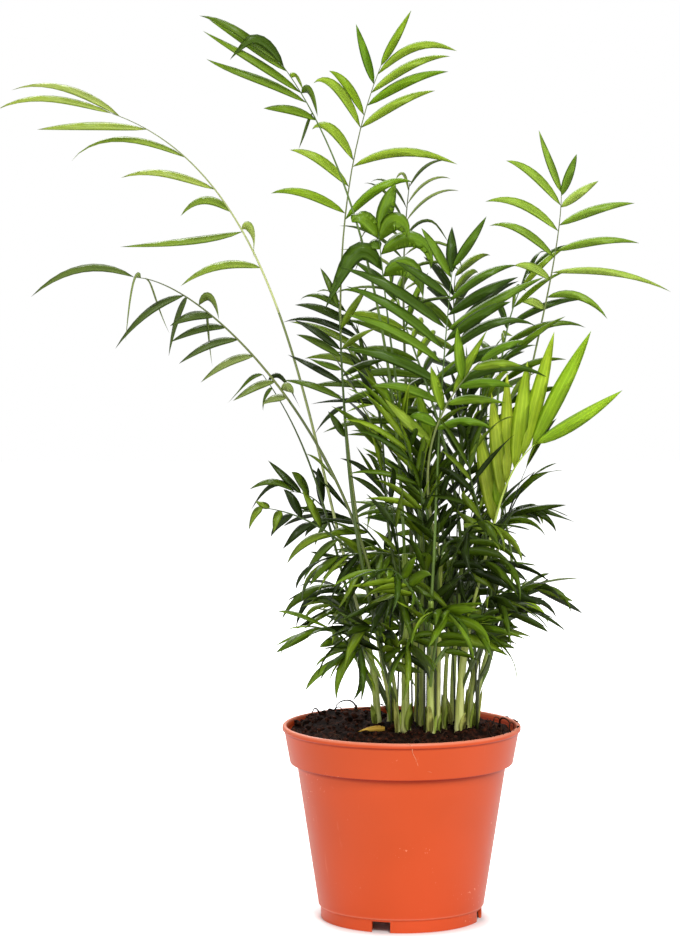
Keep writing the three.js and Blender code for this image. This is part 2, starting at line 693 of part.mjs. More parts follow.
    leaves: [
      [0.99, [-58, 6, 466], 0.3], [0.86, [-76, -4, 430], 0.2], [0.84, [-75, 8, 419], 0.2],
      [0.8, [-67, -6, 402], 0.1], [0.76, [-81, 6, 405], 0.1], [0.71, [-84, -4, 387], 0.3],
      [0.69, [-63, 10, 348], 0.5], [0.6, [-52, -6, 366], 0], [0.92, [-24, 6, 452], 0.3],
      [0.86, [-16, -6, 424], 0.4], [0.78, [-12, 6, 400], 0.4], [0.7, [-14, -8, 380], 0.3],
    ],
  },
];

// The rest of the crown stands in rings round the clump's middle, lowest first.
// In each ring the headings go round from the first, one frond from each stem of its row. A ring
// with twins forks each of its fronds at the foot: twin is the second rib's turn, rise and reach.
const MIDDLE = [22, 6];
const RINGS = [
  {
    ring: 'skirt', kind: 'low', tones: ['dark', 'green'], height: 224, out: 76, at: 0.45, leave: 24,
    arrive: 104, stems: 'lmnebacgk', first: 2, step: 39, twin: [24, -12, 0.8],
  },
  {
    ring: 'belt', kind: 'low', tones: ['dark', 'dark', 'green'], height: 276, out: 80, at: 0.72,
    leave: 12, arrive: 88, stems: 'injefgh', first: 20, step: 46, twin: [26, -30, 0.75],
  },
  {
    ring: 'waist', kind: 'middle', tones: ['dark', 'green'], height: 368, out: 48, at: 0.84, leave: 9,
    arrive: 30, stems: 'lmjfdh', first: -56, step: 58,
  },
  {
    ring: 'rear', kind: 'high', tones: ['green', 'dark'], height: 462, out: 82, at: 1, leave: 4,
    arrive: 40, stems: 'lnji', first: 44, step: 32,
  },
];
const RING_PLAY = { height: 0.07, out: 0.14, heading: 9 };

function ringFronds() {
  const random = seeded(2027);
  const play = (share) => 1 + share * (2 * random() - 1);
  return RINGS.flatMap(({ ring, kind, tones, height, out, at, leave, arrive, stems, first, step, twin }) =>
    [...stems].flatMap((stem, index) => {
      const heading = first + step * index + RING_PLAY.heading * (2 * random() - 1);
      const reach = out * play(RING_PLAY.out);
      const top = height * play(RING_PLAY.height);
      const name = `frond_${ring}_${index + 1}`;
      const forks = [[name, 0, 0, 1]];
      if (twin) forks.push([`${name}_twin`, ...twin]);
      return forks.map(([fork, turn, rise, share]) => {
        const aside = direction(90, heading + turn).multiplyScalar(reach * share);
        return {
          name: fork,
          node: name,
          kind,
          tone: tones[index % tones.length],
          stem,
          at,
          tip: [MIDDLE[0] + aside.x, MIDDLE[1] + aside.y, top + rise],
          leave: [leave, heading],
          arrive: [arrive, heading + turn],
        };
      });
    }));
}

// ---------------------------------------------------------------- the plant

const palm = new THREE.Group();
palm.add(meshOf('pot', buildPot(), FINISHES.plastic));
palm.add(meshOf('soil', buildSoil(), FINISHES.peat));
palm.add(meshOf('dry_sheath', buildDrySheath(), FINISHES.husk));

for (const [letter, stem] of Object.entries(STEMS)) {
  const solid = buildStem(stem);
  remember(`stem_${letter}`, solid);
  routes.push({ stem: letter, samples: sampled(stemLine(stem), (share) => stemRadius(stem, share)) });
  palm.add(meshOf(`stem_${letter}`, solid, FINISHES.stem));
}

const fronds = [...FRONDS, ...ringFronds()].map((row, index) => {
  const frond = { seed: 11 + 7 * index, node: row.name, ...KIND[row.kind], ...row };
  const frames = ribFrames(clearRibLine(frond), frond.spread ?? frond.arrive[1] - 90);
  const from = frond.petiole ? frond.petiole + 0.001 : 0;
  if (frond.petiole) {
    const petiole = buildRib(frames, 0, frond.petiole);
    const name = frond.name.replace('frond', 'petiole');
    remember(name, petiole);
    palm.add(meshOf(name, petiole, FINISHES[frond.tone]));
  }
  const rib = buildRib(frames, from, 1);
  remember(frond.node, rib);
  return { frond, frames, rib };
});

for (const { frond: { name, tone } } of fronds.filter(({ frond }) => frond.name === frond.node)) {
  const blades = fronds.filter(({ frond }) => frond.node === name).map(growLeaflets);
  palm.add(meshOf(name, outerShell(joined(blades)), FINISHES[tone]));
}

export default palm;
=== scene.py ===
import math

import bmesh
import bpy
import numpy as np
from mathutils import Matrix, Vector, noise
from mathutils.bvhtree import BVHTree


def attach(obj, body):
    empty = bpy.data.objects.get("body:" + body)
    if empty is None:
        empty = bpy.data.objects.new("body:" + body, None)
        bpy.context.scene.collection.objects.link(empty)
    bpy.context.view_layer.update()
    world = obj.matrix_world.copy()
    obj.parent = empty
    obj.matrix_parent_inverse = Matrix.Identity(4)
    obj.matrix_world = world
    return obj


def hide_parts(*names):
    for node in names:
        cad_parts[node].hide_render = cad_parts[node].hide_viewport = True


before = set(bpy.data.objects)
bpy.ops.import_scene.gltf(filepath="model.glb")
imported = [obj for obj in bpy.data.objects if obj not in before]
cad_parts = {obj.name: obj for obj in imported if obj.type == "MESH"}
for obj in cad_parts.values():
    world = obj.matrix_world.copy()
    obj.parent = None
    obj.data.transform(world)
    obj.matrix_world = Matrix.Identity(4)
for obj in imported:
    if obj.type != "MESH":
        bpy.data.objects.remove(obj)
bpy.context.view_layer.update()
MM = 0.001

# ---------------------------------------------------------------- pot
# The nursery pot: thin injection-moulded plastic in a terracotta colour, with a stiff collar,
# a rolled lip and a foot ring. The mould leaves four water notches and four drain holes open.

POT_HEIGHT = 139
LIP_RADIUS, LIP_HEIGHT, LIP_ROUNDING = 85.3, 4, 0.9
COLLAR_TOP_RADIUS, COLLAR_FOOT_RADIUS, COLLAR_HEIGHT = 83.9, 79.8, 27.5
BODY_TOP_RADIUS, BODY_FOOT_RADIUS = 74.9, 59.4
FOOT_RADIUS, FOOT_HEIGHT = 57.8, 8.6
POT_WALL, POT_LEDGE, EDGE_ROUNDING = 1.6, 2, 0.45
FOOT_STEP, COLLAR_STEP, LIP_STEP, LIP_EXTRA = 1.2, 0.8, 0.7, 0.6
PAD_RADIUS, FLOOR_LIFT = 18, 8.2
NOTCH_WIDTH, NOTCH_HEIGHT, NOTCH_DEPTH, NOTCH_TURN = 13.5, 7.8, 12, -15.4
DRAIN_RADIUS, DRAIN_RING, DRAIN_FACETS = 4.5, 36, 24
FACETS, SHARP_ANGLE = 144, 40


def colour(value):
    """A shader's colour, from a grey share or from red, green and blue of 0 to 255."""
    if isinstance(value, (int, float)):
        return (value, value, value, 1)
    shares = [level / 255 for level in value]
    return (*[s / 12.92 if s < 0.04045 else ((s + 0.055) / 1.055) ** 2.4 for s in shares], 1)


def new_material(name, **values):
    """A material on one Principled shader, with its plain values on the shader's own sockets."""
    material = bpy.data.materials.new(name)
    material.use_nodes = True
    shader = material.node_tree.nodes["Principled BSDF"]
    for socket, value in values.items():
        shader.inputs[socket.replace("_", " ")].default_value = value
    return material


def add_node(material, kind, inputs, **settings):
    """Adds a shader node. Each input takes a value, or the socket that feeds it."""
    node = material.node_tree.nodes.new("ShaderNode" + kind)
    for key, value in settings.items():
        setattr(node, key, value)
    feed(material, node, inputs)
    return node


def feed(material, node, inputs):
    for socket, value in inputs.items():
        if isinstance(value, bpy.types.NodeSocket):
            material.node_tree.links.new(value, node.inputs[socket])
        else:
            node.inputs[socket].default_value = value


def feed_shader(material, inputs):
    feed(material, material.node_tree.nodes["Principled BSDF"], inputs)


def coordinates(material, source):
    return add_node(material, "TexCoord", {}).outputs[source]


def along_axis(material, source, axis):
    """One axis of the piece's object coordinates or of its own UV map."""
    return add_node(material, "SeparateXYZ", {"Vector": coordinates(material, source)}).outputs[axis]


def risen(material, low, high):
    """How high a place on the piece stands, as a share of the way from low to high."""
    reach = {"Value": along_axis(material, "Object", "Z"), "From Min": low * MM, "From Max": high * MM}
    return add_node(material, "MapRange", reach).outputs["Result"]


def speckle(material, source, scale, stretch=(1, 1, 1), **inputs):
    """A noise on the piece's object coordinates or its own UV map, stretched by axis."""
    aim = add_node(material, "Mapping", {"Vector": coordinates(material, source), "Scale": stretch})
    inputs = {"Vector": aim.outputs["Vector"], "Scale": scale, **inputs}
    return add_node(material, "TexNoise", inputs).outputs["Fac"]


def ramp(material, factor, *stops):
    """A colour ramp from (place, colour) stops."""
    node = add_node(material, "ValToRGB", {"Fac": factor})
    bands = node.color_ramp.elements
    while len(bands) < len(stops):
        bands.new(0.5)
    for band, (place, shade) in zip(bands, stops):
        band.position = place
        band.color = colour(shade)
    return node.outputs["Color"]


def blend(material, kind, factor, low, high):
    """Mixes two colours or colour sockets. kind is Blender's name for the way of mixing."""
    node = add_node(material, "Mix", {0: factor}, data_type="RGBA", blend_type=kind)
    for index, value in ((6, low), (7, high)):
        socket = isinstance(value, bpy.types.NodeSocket)
        feed(material, node, {index: value if socket else colour(value)})
    return node.outputs[2]


def shaded(material, tone, strength, factor, *stops):
    """A tone multiplied by a ramp over a noise or a height."""
    return blend(material, "MULTIPLY", strength, tone, ramp(material, factor, *stops))


def coat(material, tone, *reliefs, **others):
    """Feeds a shader its colour, and a bump for each (height, distance, strength) of its reliefs."""
    inputs = {"Base Color": tone, **others}
    for height, distance, strength in reliefs:
        ridges = {"Height": height, "Distance": distance * MM, "Strength": strength}
        if "Normal" in inputs:
            ridges["Normal"] = inputs["Normal"]
        inputs["Normal"] = add_node(material, "Bump", ridges).outputs["Normal"]
    feed_shader(material, inputs)


def put_in_scene(name, data):
    """Shows a mesh, lamp or camera as an object at the origin."""
    thing = bpy.data.objects.new(name, data)
    bpy.context.scene.collection.objects.link(thing)
    return thing


def smooth_piece(name, mesh, materials):
    mesh.shade_smooth()
    for material in materials:
        mesh.materials.append(material)
    return put_in_scene(name, mesh)


def new_piece(name, shape, *materials):
    """Makes a smooth-shaded piece of a bmesh in millimetres."""
    bmesh.ops.scale(shape, vec=(MM, MM, MM), verts=shape.verts)
    mesh = bpy.data.meshes.new(name)
    shape.to_mesh(mesh)
    shape.free()
    return smooth_piece(name, mesh, materials)


def turned(outline, facets, usual_rounding=0):
    """A solid turned from (radius, height) corners that run from axis to axis.
    A corner off the axis takes the usual rounding, or a third number of its own."""
    outline = [(*row, usual_rounding if row[0] else 0)[:3] for row in outline]
    shape = bmesh.new()
    corners = [shape.verts.new((radius, 0, height)) for radius, height, _ in outline]
    for corner, following in zip(corners, corners[1:]):
        shape.edges.new((corner, following))
    for rounding in sorted({row[2] for row in outline} - {0}):
        rounded = [corner for corner, row in zip(corners, outline) if row[2] == rounding]
        bmesh.ops.bevel(
            shape, geom=rounded, offset=rounding, offset_type="OFFSET", segments=3,
            profile=0.5, affect="VERTICES", material=-1)
    bmesh.ops.spin(
        shape, geom=shape.verts[:] + shape.edges[:], cent=(0, 0, 0), axis=(0, 0, 1),
        angle=2 * math.pi, steps=facets, use_merge=True)
    bmesh.ops.remove_doubles(shape, verts=shape.verts, dist=1e-3)
    bmesh.ops.recalc_face_normals(shape, faces=shape.faces)
    return shape


def cut_away(piece, cutter):
    """Cuts the shape of a bmesh out of a piece."""
    tool = new_piece(piece.name + "_cutter", cutter)
    cut = piece.modifiers.new("cut", "BOOLEAN")
    cut.object = tool
    cut.solver = "EXACT"
    seen = piece.evaluated_get(bpy.context.evaluated_depsgraph_get())
    carved = bpy.data.meshes.new_from_object(seen)
    piece.modifiers.clear()
    piece.data = carved
    bpy.data.objects.remove(tool)


COLLAR_FOOT = POT_HEIGHT - COLLAR_HEIGHT
LIP_FOOT = POT_HEIGHT - LIP_HEIGHT
FLOOR_TOP = FLOOR_LIFT + POT_WALL
pot_shape = turned([
    (0, 0),
    (PAD_RADIUS, 0),
    (PAD_RADIUS + 2, FLOOR_LIFT),
    (FOOT_RADIUS - 2 * POT_WALL, FLOOR_LIFT),
    (FOOT_RADIUS - POT_WALL, 0),
    (FOOT_RADIUS, 0),
    (FOOT_RADIUS, FOOT_HEIGHT),
    (BODY_FOOT_RADIUS, FOOT_HEIGHT + FOOT_STEP),
    (BODY_TOP_RADIUS, COLLAR_FOOT),
    (COLLAR_FOOT_RADIUS, COLLAR_FOOT + COLLAR_STEP),
    (COLLAR_TOP_RADIUS, LIP_FOOT),
    (LIP_RADIUS, LIP_FOOT + LIP_STEP),
    (LIP_RADIUS, POT_HEIGHT, LIP_ROUNDING + LIP_EXTRA),
    (COLLAR_TOP_RADIUS - POT_WALL, POT_HEIGHT, LIP_ROUNDING),
    (COLLAR_FOOT_RADIUS - POT_WALL, COLLAR_FOOT + POT_LEDGE),
    (BODY_TOP_RADIUS - POT_WALL, COLLAR_FOOT - 1),
    (BODY_FOOT_RADIUS - POT_WALL, FLOOR_TOP),
    (PAD_RADIUS + 1, FLOOR_TOP),
    (PAD_RADIUS - 1, POT_WALL),
    (0, POT_WALL),
], FACETS, EDGE_ROUNDING)

openings = bmesh.new()
for quarter in range(4):
    turn = Matrix.Rotation(math.radians(NOTCH_TURN + 90 * quarter), 4, "Z")
    notch_size = Matrix.Diagonal((NOTCH_WIDTH, NOTCH_DEPTH, 2 * NOTCH_HEIGHT, 1))
    notch_place = turn @ Matrix.Translation((0, -FOOT_RADIUS, 0)) @ notch_size
    bmesh.ops.create_cube(openings, size=1, matrix=notch_place)
    drain_turn = Matrix.Rotation(math.radians(90 * quarter), 4, "Z")
    drain_place = drain_turn @ Matrix.Translation((DRAIN_RING, 0, 0))
    bmesh.ops.create_cone(
        openings, cap_ends=True, segments=DRAIN_FACETS, radius1=DRAIN_RADIUS, radius2=DRAIN_RADIUS,
        depth=4 * FLOOR_TOP, matrix=drain_place)

# Smooth moulded plastic: a faint orange peel, a cloudy sheen, hair scratches and specks of peat.
plastic = new_material("moulded_terracotta_plastic", Roughness=0.36, Specular_IOR_Level=0.22)
clouds = speckle(plastic, "Object", 9, Detail=2)
peel = speckle(plastic, "Object", 1100, Detail=2)
scratches = speckle(plastic, "Object", 160, stretch=(1, 1, 0.06), Detail=4)
dirt = speckle(plastic, "Object", 420, Detail=3, Roughness=0.6)
dirty_places = speckle(plastic, "Object", 26, Detail=2)
tone = ramp(plastic, clouds, (0.3, (202, 78, 34)), (0.7, (218, 84, 40)))
scratched = ramp(plastic, scratches, (0.7, 0), (0.76, 0.12))
tone = blend(plastic, "MIX", scratched, tone, (242, 150, 112))
specks = ramp(plastic, dirt, (0.66, 0), (0.7, 1))
specks = shaded(plastic, specks, 1, dirty_places, (0.56, 0), (0.66, 0.8))
tone = blend(plastic, "MIX", specks, tone, (246, 170, 132))

# Painted shade darkens the corners under the collar and the lip, and a painted highlight lightens the foot's
# step and the rim.
rise = risen(plastic, 0, POT_HEIGHT)
corner, lip_under, step = (
    height / POT_HEIGHT for height in (COLLAR_FOOT, LIP_FOOT, FOOT_HEIGHT + FOOT_STEP))
painted_shade_tint = (196, 138, 120)
# Painted shade: a darker band in the corner under the collar and a thin one under the lip.
tone = shaded(
    plastic, tone, 0.9, rise,
    (corner - 0.022, 1), (corner - 0.006, painted_shade_tint), (corner + 0.004, painted_shade_tint), (corner + 0.009, 1),
    (lip_under - 0.01, 1), (lip_under, painted_shade_tint), (lip_under + 0.006, 1))
# Painted highlight: a pale line along the foot's step and a pale band on the top of the rim.
painted_highlight = ramp(plastic, rise, (step - 0.006, 0), (step, 0.32), (step + 0.006, 0), (0.985, 0), (0.998, 0.5))
tone = blend(plastic, "MIX", painted_highlight, tone, (252, 176, 146))
sheen = ramp(plastic, clouds, (0.3, 0.32), (0.7, 0.4))
coat(plastic, tone, (peel, 0.03, 0.5), (scratches, 0.05, 0.25), Roughness=sheen)

pot = new_piece("moulded_pot", pot_shape, plastic)
cut_away(pot, openings)
pot.data.set_sharp_from_angle(angle=math.radians(SHARP_ANGLE))
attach(pot, "root")
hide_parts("pot")

# ---------------------------------------------------------------- peat
# The potting peat: dark, damp and fibrous, pressed in to just under the lip. Its top is uneven,
# with loose crumbs and bark bits on it, and dead root threads that stand up out of it.

SOIL_TOP, SOIL_EDGE, SOIL_FLAT_RADIUS = 135, 133, 66
SOIL_GAP = 0.3
SOIL_RELIEF, NOISE_LEVEL = 5.2, 3.7
SOIL_WAVES = ((19, 0.5, (0, 0, 0)), (6.5, 0.5, (7, 0, 0)), (2.4, 0.28, (0, 11, 0)))
MOUND_PLACE, MOUND_SIZE, MOUND_RISE = (-46, 44), 26, 6
PEAT_RINGS, PEAT_FACETS = 42, 120
CRUMBS, CRUMB_RADII, CRUMB_REACH, CRUMB_RISE, BARK_SHARE = 900, (0.5, 3.4), 0.985, 0.2, 0.35
RIM_CRUMBS, RIM_CRUMB_RADII, RIM_ANGLES, RIM_RADIUS = 22, (0.35, 1.2), (-95, 25), 83.7


def peat_height(x, y):
    """How far the peat stands above or below its level at a place: a mound, and waves of three sizes."""
    place = Vector((x, y, NOISE_LEVEL))
    lumps = sum(share * noise.noise(place / size + Vector(shift)) for size, share, shift in SOIL_WAVES)
    to_mound = math.hypot(x - MOUND_PLACE[0], y - MOUND_PLACE[1]) / MOUND_SIZE
    mound = MOUND_RISE * math.exp(-to_mound * to_mound)
    return mound + SOIL_RELIEF * lumps


def peat_top(x, y):
    """The height of the peat's surface at a place."""
    radius = math.hypot(x, y)
    fall = max(0, radius - SOIL_FLAT_RADIUS) / (peat_radius - SOIL_FLAT_RADIUS)
    return SOIL_TOP + fall * (SOIL_EDGE - SOIL_TOP) + peat_height(x, y)


inner = POT_WALL + SOIL_GAP
ledge = COLLAR_FOOT + POT_LEDGE
edge_share = (SOIL_EDGE - ledge) / (POT_HEIGHT - ledge)
peat_radius = COLLAR_FOOT_RADIUS + edge_share * (COLLAR_TOP_RADIUS - COLLAR_FOOT_RADIUS) - inner
peat_outline = [
    (0, FLOOR_TOP + SOIL_GAP),
    (BODY_FOOT_RADIUS - inner, FLOOR_TOP + SOIL_GAP),
    (BODY_TOP_RADIUS - inner, COLLAR_FOOT - 1),
    (COLLAR_FOOT_RADIUS - inner, ledge + SOIL_GAP),
    *((peat_radius * (1 - ring / PEAT_RINGS), SOIL_EDGE) for ring in range(PEAT_RINGS + 1)),
]
peat_shape = turned(peat_outline, PEAT_FACETS)
for corner in peat_shape.verts:
    if corner.co.z > SOIL_EDGE - 0.1:
        corner.co.z = peat_top(corner.co.x, corner.co.y)

peat = new_material("damp_peat", Roughness=0.9, Specular_IOR_Level=0.08)
clods = speckle(peat, "Object", 230, Detail=6, Roughness=0.65)
fibre = speckle(peat, "Object", 700, stretch=(1, 0.35, 1), Detail=4)
peat_tone = ramp(
    peat, clods, (0.34, (12, 7, 4)), (0.5, (34, 18, 11)), (0.62, (66, 33, 20)), (0.76, (120, 68, 40)))
coat(peat, peat_tone, (clods, 2, 1), (fibre, 0.6, 0.8))

soil = new_piece("peat_fill", peat_shape, peat)
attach(soil, "root")
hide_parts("soil")


def seeded(seed):
    """The same steady stream of shares from 0 to 1 for every run."""
    state = seed
    while True:
        state = (state * 48271) % 2147483647
        yield state / 2147483647


def swing(random):
    """A seeded number from -1 to 1."""
    return 2 * next(random) - 1


def mix(low, high, share):
    return low + (high - low) * share


def grained(name, roughness, gloss, grain, dark, light, *relief, stretch=(1, 1, 1)):
    """Dead matter with a fine grain, given as (scale, detail), between two (place, colour) stops."""
    material = new_material(name, Roughness=roughness, Specular_IOR_Level=gloss)
    fine = speckle(material, "Object", grain[0], stretch, Detail=grain[1])
    coat(material, ramp(material, fine, dark, light), *((fine, distance, 1) for distance in relief))
    return material


# Loose crumbs and bark bits, squashed and turned at random, most of them small.
bark = grained(
    "red_brown_bark_bits", 0.85, 0.1, (600, 4), (0.35, (30, 15, 10)), (0.6, (74, 38, 24)), 0.4,
    stretch=(1, 0.3, 1))

crumb_play = seeded(611)
crumb_shape = bmesh.new()


def add_crumb(x, y, ground, size):
    """A crumb or bark bit that rests on the ground under it."""
    spin = Matrix.Rotation(6 * next(crumb_play), 4, "Z") @ Matrix.Rotation(next(crumb_play), 4, "X")
    flat, low = mix(0.5, 1, next(crumb_play)), mix(0.4, 0.9, next(crumb_play))
    squash = Matrix.Diagonal((size, size * flat, size * low, 1))
    place = Matrix.Translation((x, y, ground + CRUMB_RISE * size)) @ spin @ squash
    made = bmesh.ops.create_icosphere(crumb_shape, subdivisions=1, radius=1, matrix=place)["verts"]
    kind = int(next(crumb_play) < BARK_SHARE)
    for face in {face for corner in made for face in corner.link_faces}:
        face.material_index = kind


for _ in range(CRUMBS):
    radius, turn = peat_radius * CRUMB_REACH * math.sqrt(next(crumb_play)), 2 * math.pi * next(crumb_play)
    x, y = radius * math.cos(turn), radius * math.sin(turn)
    size = mix(*CRUMB_RADII, next(crumb_play) ** 3)
    add_crumb(x, y, peat_top(x, y), size)
for _ in range(RIM_CRUMBS):
    turn = math.radians(mix(*RIM_ANGLES, math.sqrt(next(crumb_play))))
    size = mix(*RIM_CRUMB_RADII, next(crumb_play) ** 2)
    add_crumb(RIM_RADIUS * math.cos(turn), RIM_RADIUS * math.sin(turn), POT_HEIGHT, size)
crumbs = new_piece("peat_crumbs", crumb_shape, peat, bark)
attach(crumbs, "root")

# ---------------------------------------------------------------- stems
# Fourteen seedling stems. Each is a green cane wrapped in leaf sheaths whose free edges wind
# up it, with swollen joints, and it leans from the peat to the tip where its frond starts.

CLEAR = 0.3
STEM_FLARE, STEM_FLARE_HEIGHT, STEM_TAPER = 1.12, 12, 0.66
STEM_SIDES, STEM_STEPS, STEM_SUNK, STEM_CROWDING = 16, 46, 3, 1.2
WRAP_STEP, WRAP_TURNS, WRAPPED = 0.2, 0.8, 0.96
JOINT_SPACING, JOINT_SWELL, JOINT_WIDTH = 19, 0.07, 1.3
CANE_FADE = 90

# One row for each seedling: where its foot stands, where its tip is, and how thick it is.
STEMS = {
    "a": ((-17, 18), (-27, 22, 206), 3.0),
    "b": ((-7, 32), (-13, 38, 172), 2.5),
    "c": ((-3, -15), (-13, -22, 205), 1.8),
    "d": ((3, -2), (2, -4, 262), 3.4),
    "e": ((12, 25), (8, 40, 240), 2.2),
    "f": ((15, 9), (15, 13, 280), 2.6),
    "g": ((20, -22), (20, -34, 232), 2.9),
    "h": ((26, -4), (28, -8, 258), 2.0),
    "i": ((31, 7), (36, 5, 226), 1.8),
    "j": ((37, 21), (44, 30, 250), 2.4),
    "k": ((41, -9), (50, -15, 226), 3.4),
    "l": ((49, 6), (62, 4, 212), 2.0),
    "m": ((54, 18), (72, 28, 214), 1.8),
    "n": ((48, 36), (66, 56, 200), 1.6),
}


def unit(vector):
    return vector / np.linalg.norm(vector, axis=-1, keepdims=True)


def direction(lean, heading):
    """A direction from its lean off the vertical and its heading in plan: 0 is +X, 90 is +Y."""
    tilt, turn = math.radians(lean), math.radians(heading)
    return np.array([math.sin(tilt) * math.cos(turn), math.sin(tilt) * math.sin(turn), math.cos(tilt)])


def curve_point(controls, share):
    """The points at these shares of a curve with the given control points."""
    share = np.asarray(share, float)[..., None]
    points = [np.asarray(point, float) for point in controls]
    while len(points) > 1:
        points = [mix(one, two, share) for one, two in zip(points, points[1:])]
    return points[0]


def curve_ahead(controls, share):
    steps = [np.subtract(two, one) for one, two in zip(controls, controls[1:])]
    return unit(curve_point(steps, share))


def stem_line(stem):
    foot, tip, _ = STEMS[stem]
    ground = SOIL_TOP + CLEAR
    return [(*foot, ground), (*foot, (ground + tip[2]) / 2), tip]


def stem_radius(stem, share):
    _, tip, radius = STEMS[stem]
    rise = share * (tip[2] - SOIL_TOP)
    flare = np.maximum(0, 1 - rise / STEM_FLARE_HEIGHT) * (STEM_FLARE - 1)
    return radius * (flare + mix(1, STEM_TAPER, share))


def add_tube(shape, sides, steps, place):
    """Adds a closed tube: a grid that place(turn, share) rolls up, with merged seam and capped ends."""
    sheet = bmesh.ops.create_grid(
        shape, x_segments=sides, y_segments=steps, size=0.5, calc_uvs=True)["verts"]
    for corner in sheet:
        corner.co = place(2 * math.pi * (corner.co.x + 0.5), corner.co.y + 0.5)
    bmesh.ops.remove_doubles(shape, verts=sheet, dist=1e-4)
    rims = [edge for edge in shape.edges if edge.is_boundary]
    bmesh.ops.holes_fill(shape, edges=rims, sides=sides)
    bmesh.ops.recalc_face_normals(shape, faces=shape.faces)


def new_tubes():
    """An empty bmesh that keeps a grid's own coordinates."""
    shape = bmesh.new()
    shape.loops.layers.uv.new("along")
    return shape


def build_stem(stem, random):
    """A stem's tube. Its sections are level, and its sheath's edge winds up it as a small step."""
    line = stem_line(stem)
    length = np.linalg.norm(np.subtract(line[2], line[0]))
    start, joint_start = next(random), next(random) * JOINT_SPACING

    def place(turn, share):
        along = share ** STEM_CROWDING
        middle = curve_point(line, along)
        if share == 0:
            middle = middle - (0, 0, STEM_SUNK)
        wrap = (turn / (2 * math.pi) + WRAP_TURNS * share + start) % 1
        from_joint = (along * length + joint_start) % JOINT_SPACING - JOINT_SPACING / 2
        swell = JOINT_SWELL * math.exp(-((from_joint / JOINT_WIDTH) ** 2))
        radius = stem_radius(stem, along) * (WRAPPED + WRAP_STEP * (wrap - 0.5) + swell)
        return middle + radius * np.array([math.cos(turn), math.sin(turn), 0])

    shape = new_tubes()
    add_tube(shape, STEM_SIDES, STEM_STEPS, place)
    return shape


def cane_material(name, foot, middle, top):
    """A sheathed cane: lengthwise ribs with dark grooves, paler towards the peat, with a waxy gloss."""
    material = new_material(name, Roughness=0.4, Specular_IOR_Level=0.4)
    lines = speckle(material, "UV", 1, stretch=(22, 1.4, 1), Detail=3)
    mottle = speckle(material, "Object", 150, stretch=(1, 1, 0.3), Detail=3)
    rise = risen(material, SOIL_TOP, SOIL_TOP + CANE_FADE)
    tone = ramp(material, rise, (0, foot), (0.14, middle), (1, top))
    tone = shaded(material, tone, 0.8, lines, (0.3, (104, 116, 44)), (0.45, (222, 230, 164)), (0.62, 1))
    tone = shaded(material, tone, 0.6, mottle, (0.32, (168, 160, 96)), (0.56, 1))
    coat(material, tone, (lines, 0.4, 0.9))
    return material


canes = [
    cane_material("green_cane", (238, 238, 178), (214, 226, 138), (168, 192, 94)),
    cane_material("yellow_cane", (246, 242, 190), (232, 236, 158), (202, 216, 114)),
    cane_material("olive_cane", (216, 214, 152), (188, 198, 114), (144, 164, 80)),
]

# What each finished limb or leaflet takes up, so that no later leaflet grows through it.
taken = []


def take_up(owner, tree, corners):
    taken.append((owner, tree, corners.min(0), corners.max(0)))


def take_up_shape(owner, shape):
    take_up(owner, BVHTree.FromBMesh(shape), np.array([corner.co for corner in shape.verts]))


sheath_play = seeded(97)
for index, stem in enumerate(STEMS):
    stem_shape = build_stem(stem, sheath_play)
    take_up_shape(f"stem_{stem}", stem_shape)
    stem_piece = new_piece(f"sheathed_stem_{stem}", stem_shape, canes[index % len(canes)])
    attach(stem_piece, "root")
    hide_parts(f"stem_{stem}")

# ---------------------------------------------------------------- frond ribs
# Each frond has one rib, a thin green rod that arches out from its stem's tip or side and
# carries the leaflets on its outer part. A rib keeps clear of the stems and of earlier ribs.

RIB_FOOT_RADIUS, RIB_TIP_RADIUS = 1.35, 0.62
RIB_SIDES, RIB_STEPS, RIB_END_RADIUS, RIB_TAPER, RIB_FLAT = 8, 30, 0.3, 1.5, 0.7
SHEATH_RISE, SHEATH_STEPS = 15, 6
FORK, FORK_SPREAD = 0.05, 0.4
ROUTE_SAMPLES, ROUTE_SPARE = 120, 0.7
SLIPS = (0, -0.08, 0.08, -0.16, -0.24)
SWAYS = (0, 5, -5, 10, -10, 15, -15, 20, -20, 26, -26, 32, -32, 40, -40)
WEST, EAST, BACK, FRONT = 180, 0, 90, 270

KIND = {
    "high": dict(
        bare=0.5, pairs=7, reach=62, width=6.5, open=70, close=16, fold=18, arch=0.1, sag=0.2, last=0.8,
        finer=1.15, curl=1.2, twist=0.5, play=1.3),
    "middle": dict(
        bare=0.4, pairs=7, reach=58, width=5.6, open=44, close=14, fold=22, arch=0.1, sag=0.16, last=0.8,
        finer=1.3, curl=1, twist=1.2, play=1.9),
    "low": dict(
        bare=0.34, pairs=4, reach=42, width=7.5, open=62, close=18, fold=26, arch=0.08, sag=0.28, last=0.9,
        finer=1.4, curl=0.9, twist=0.8, play=2),
}

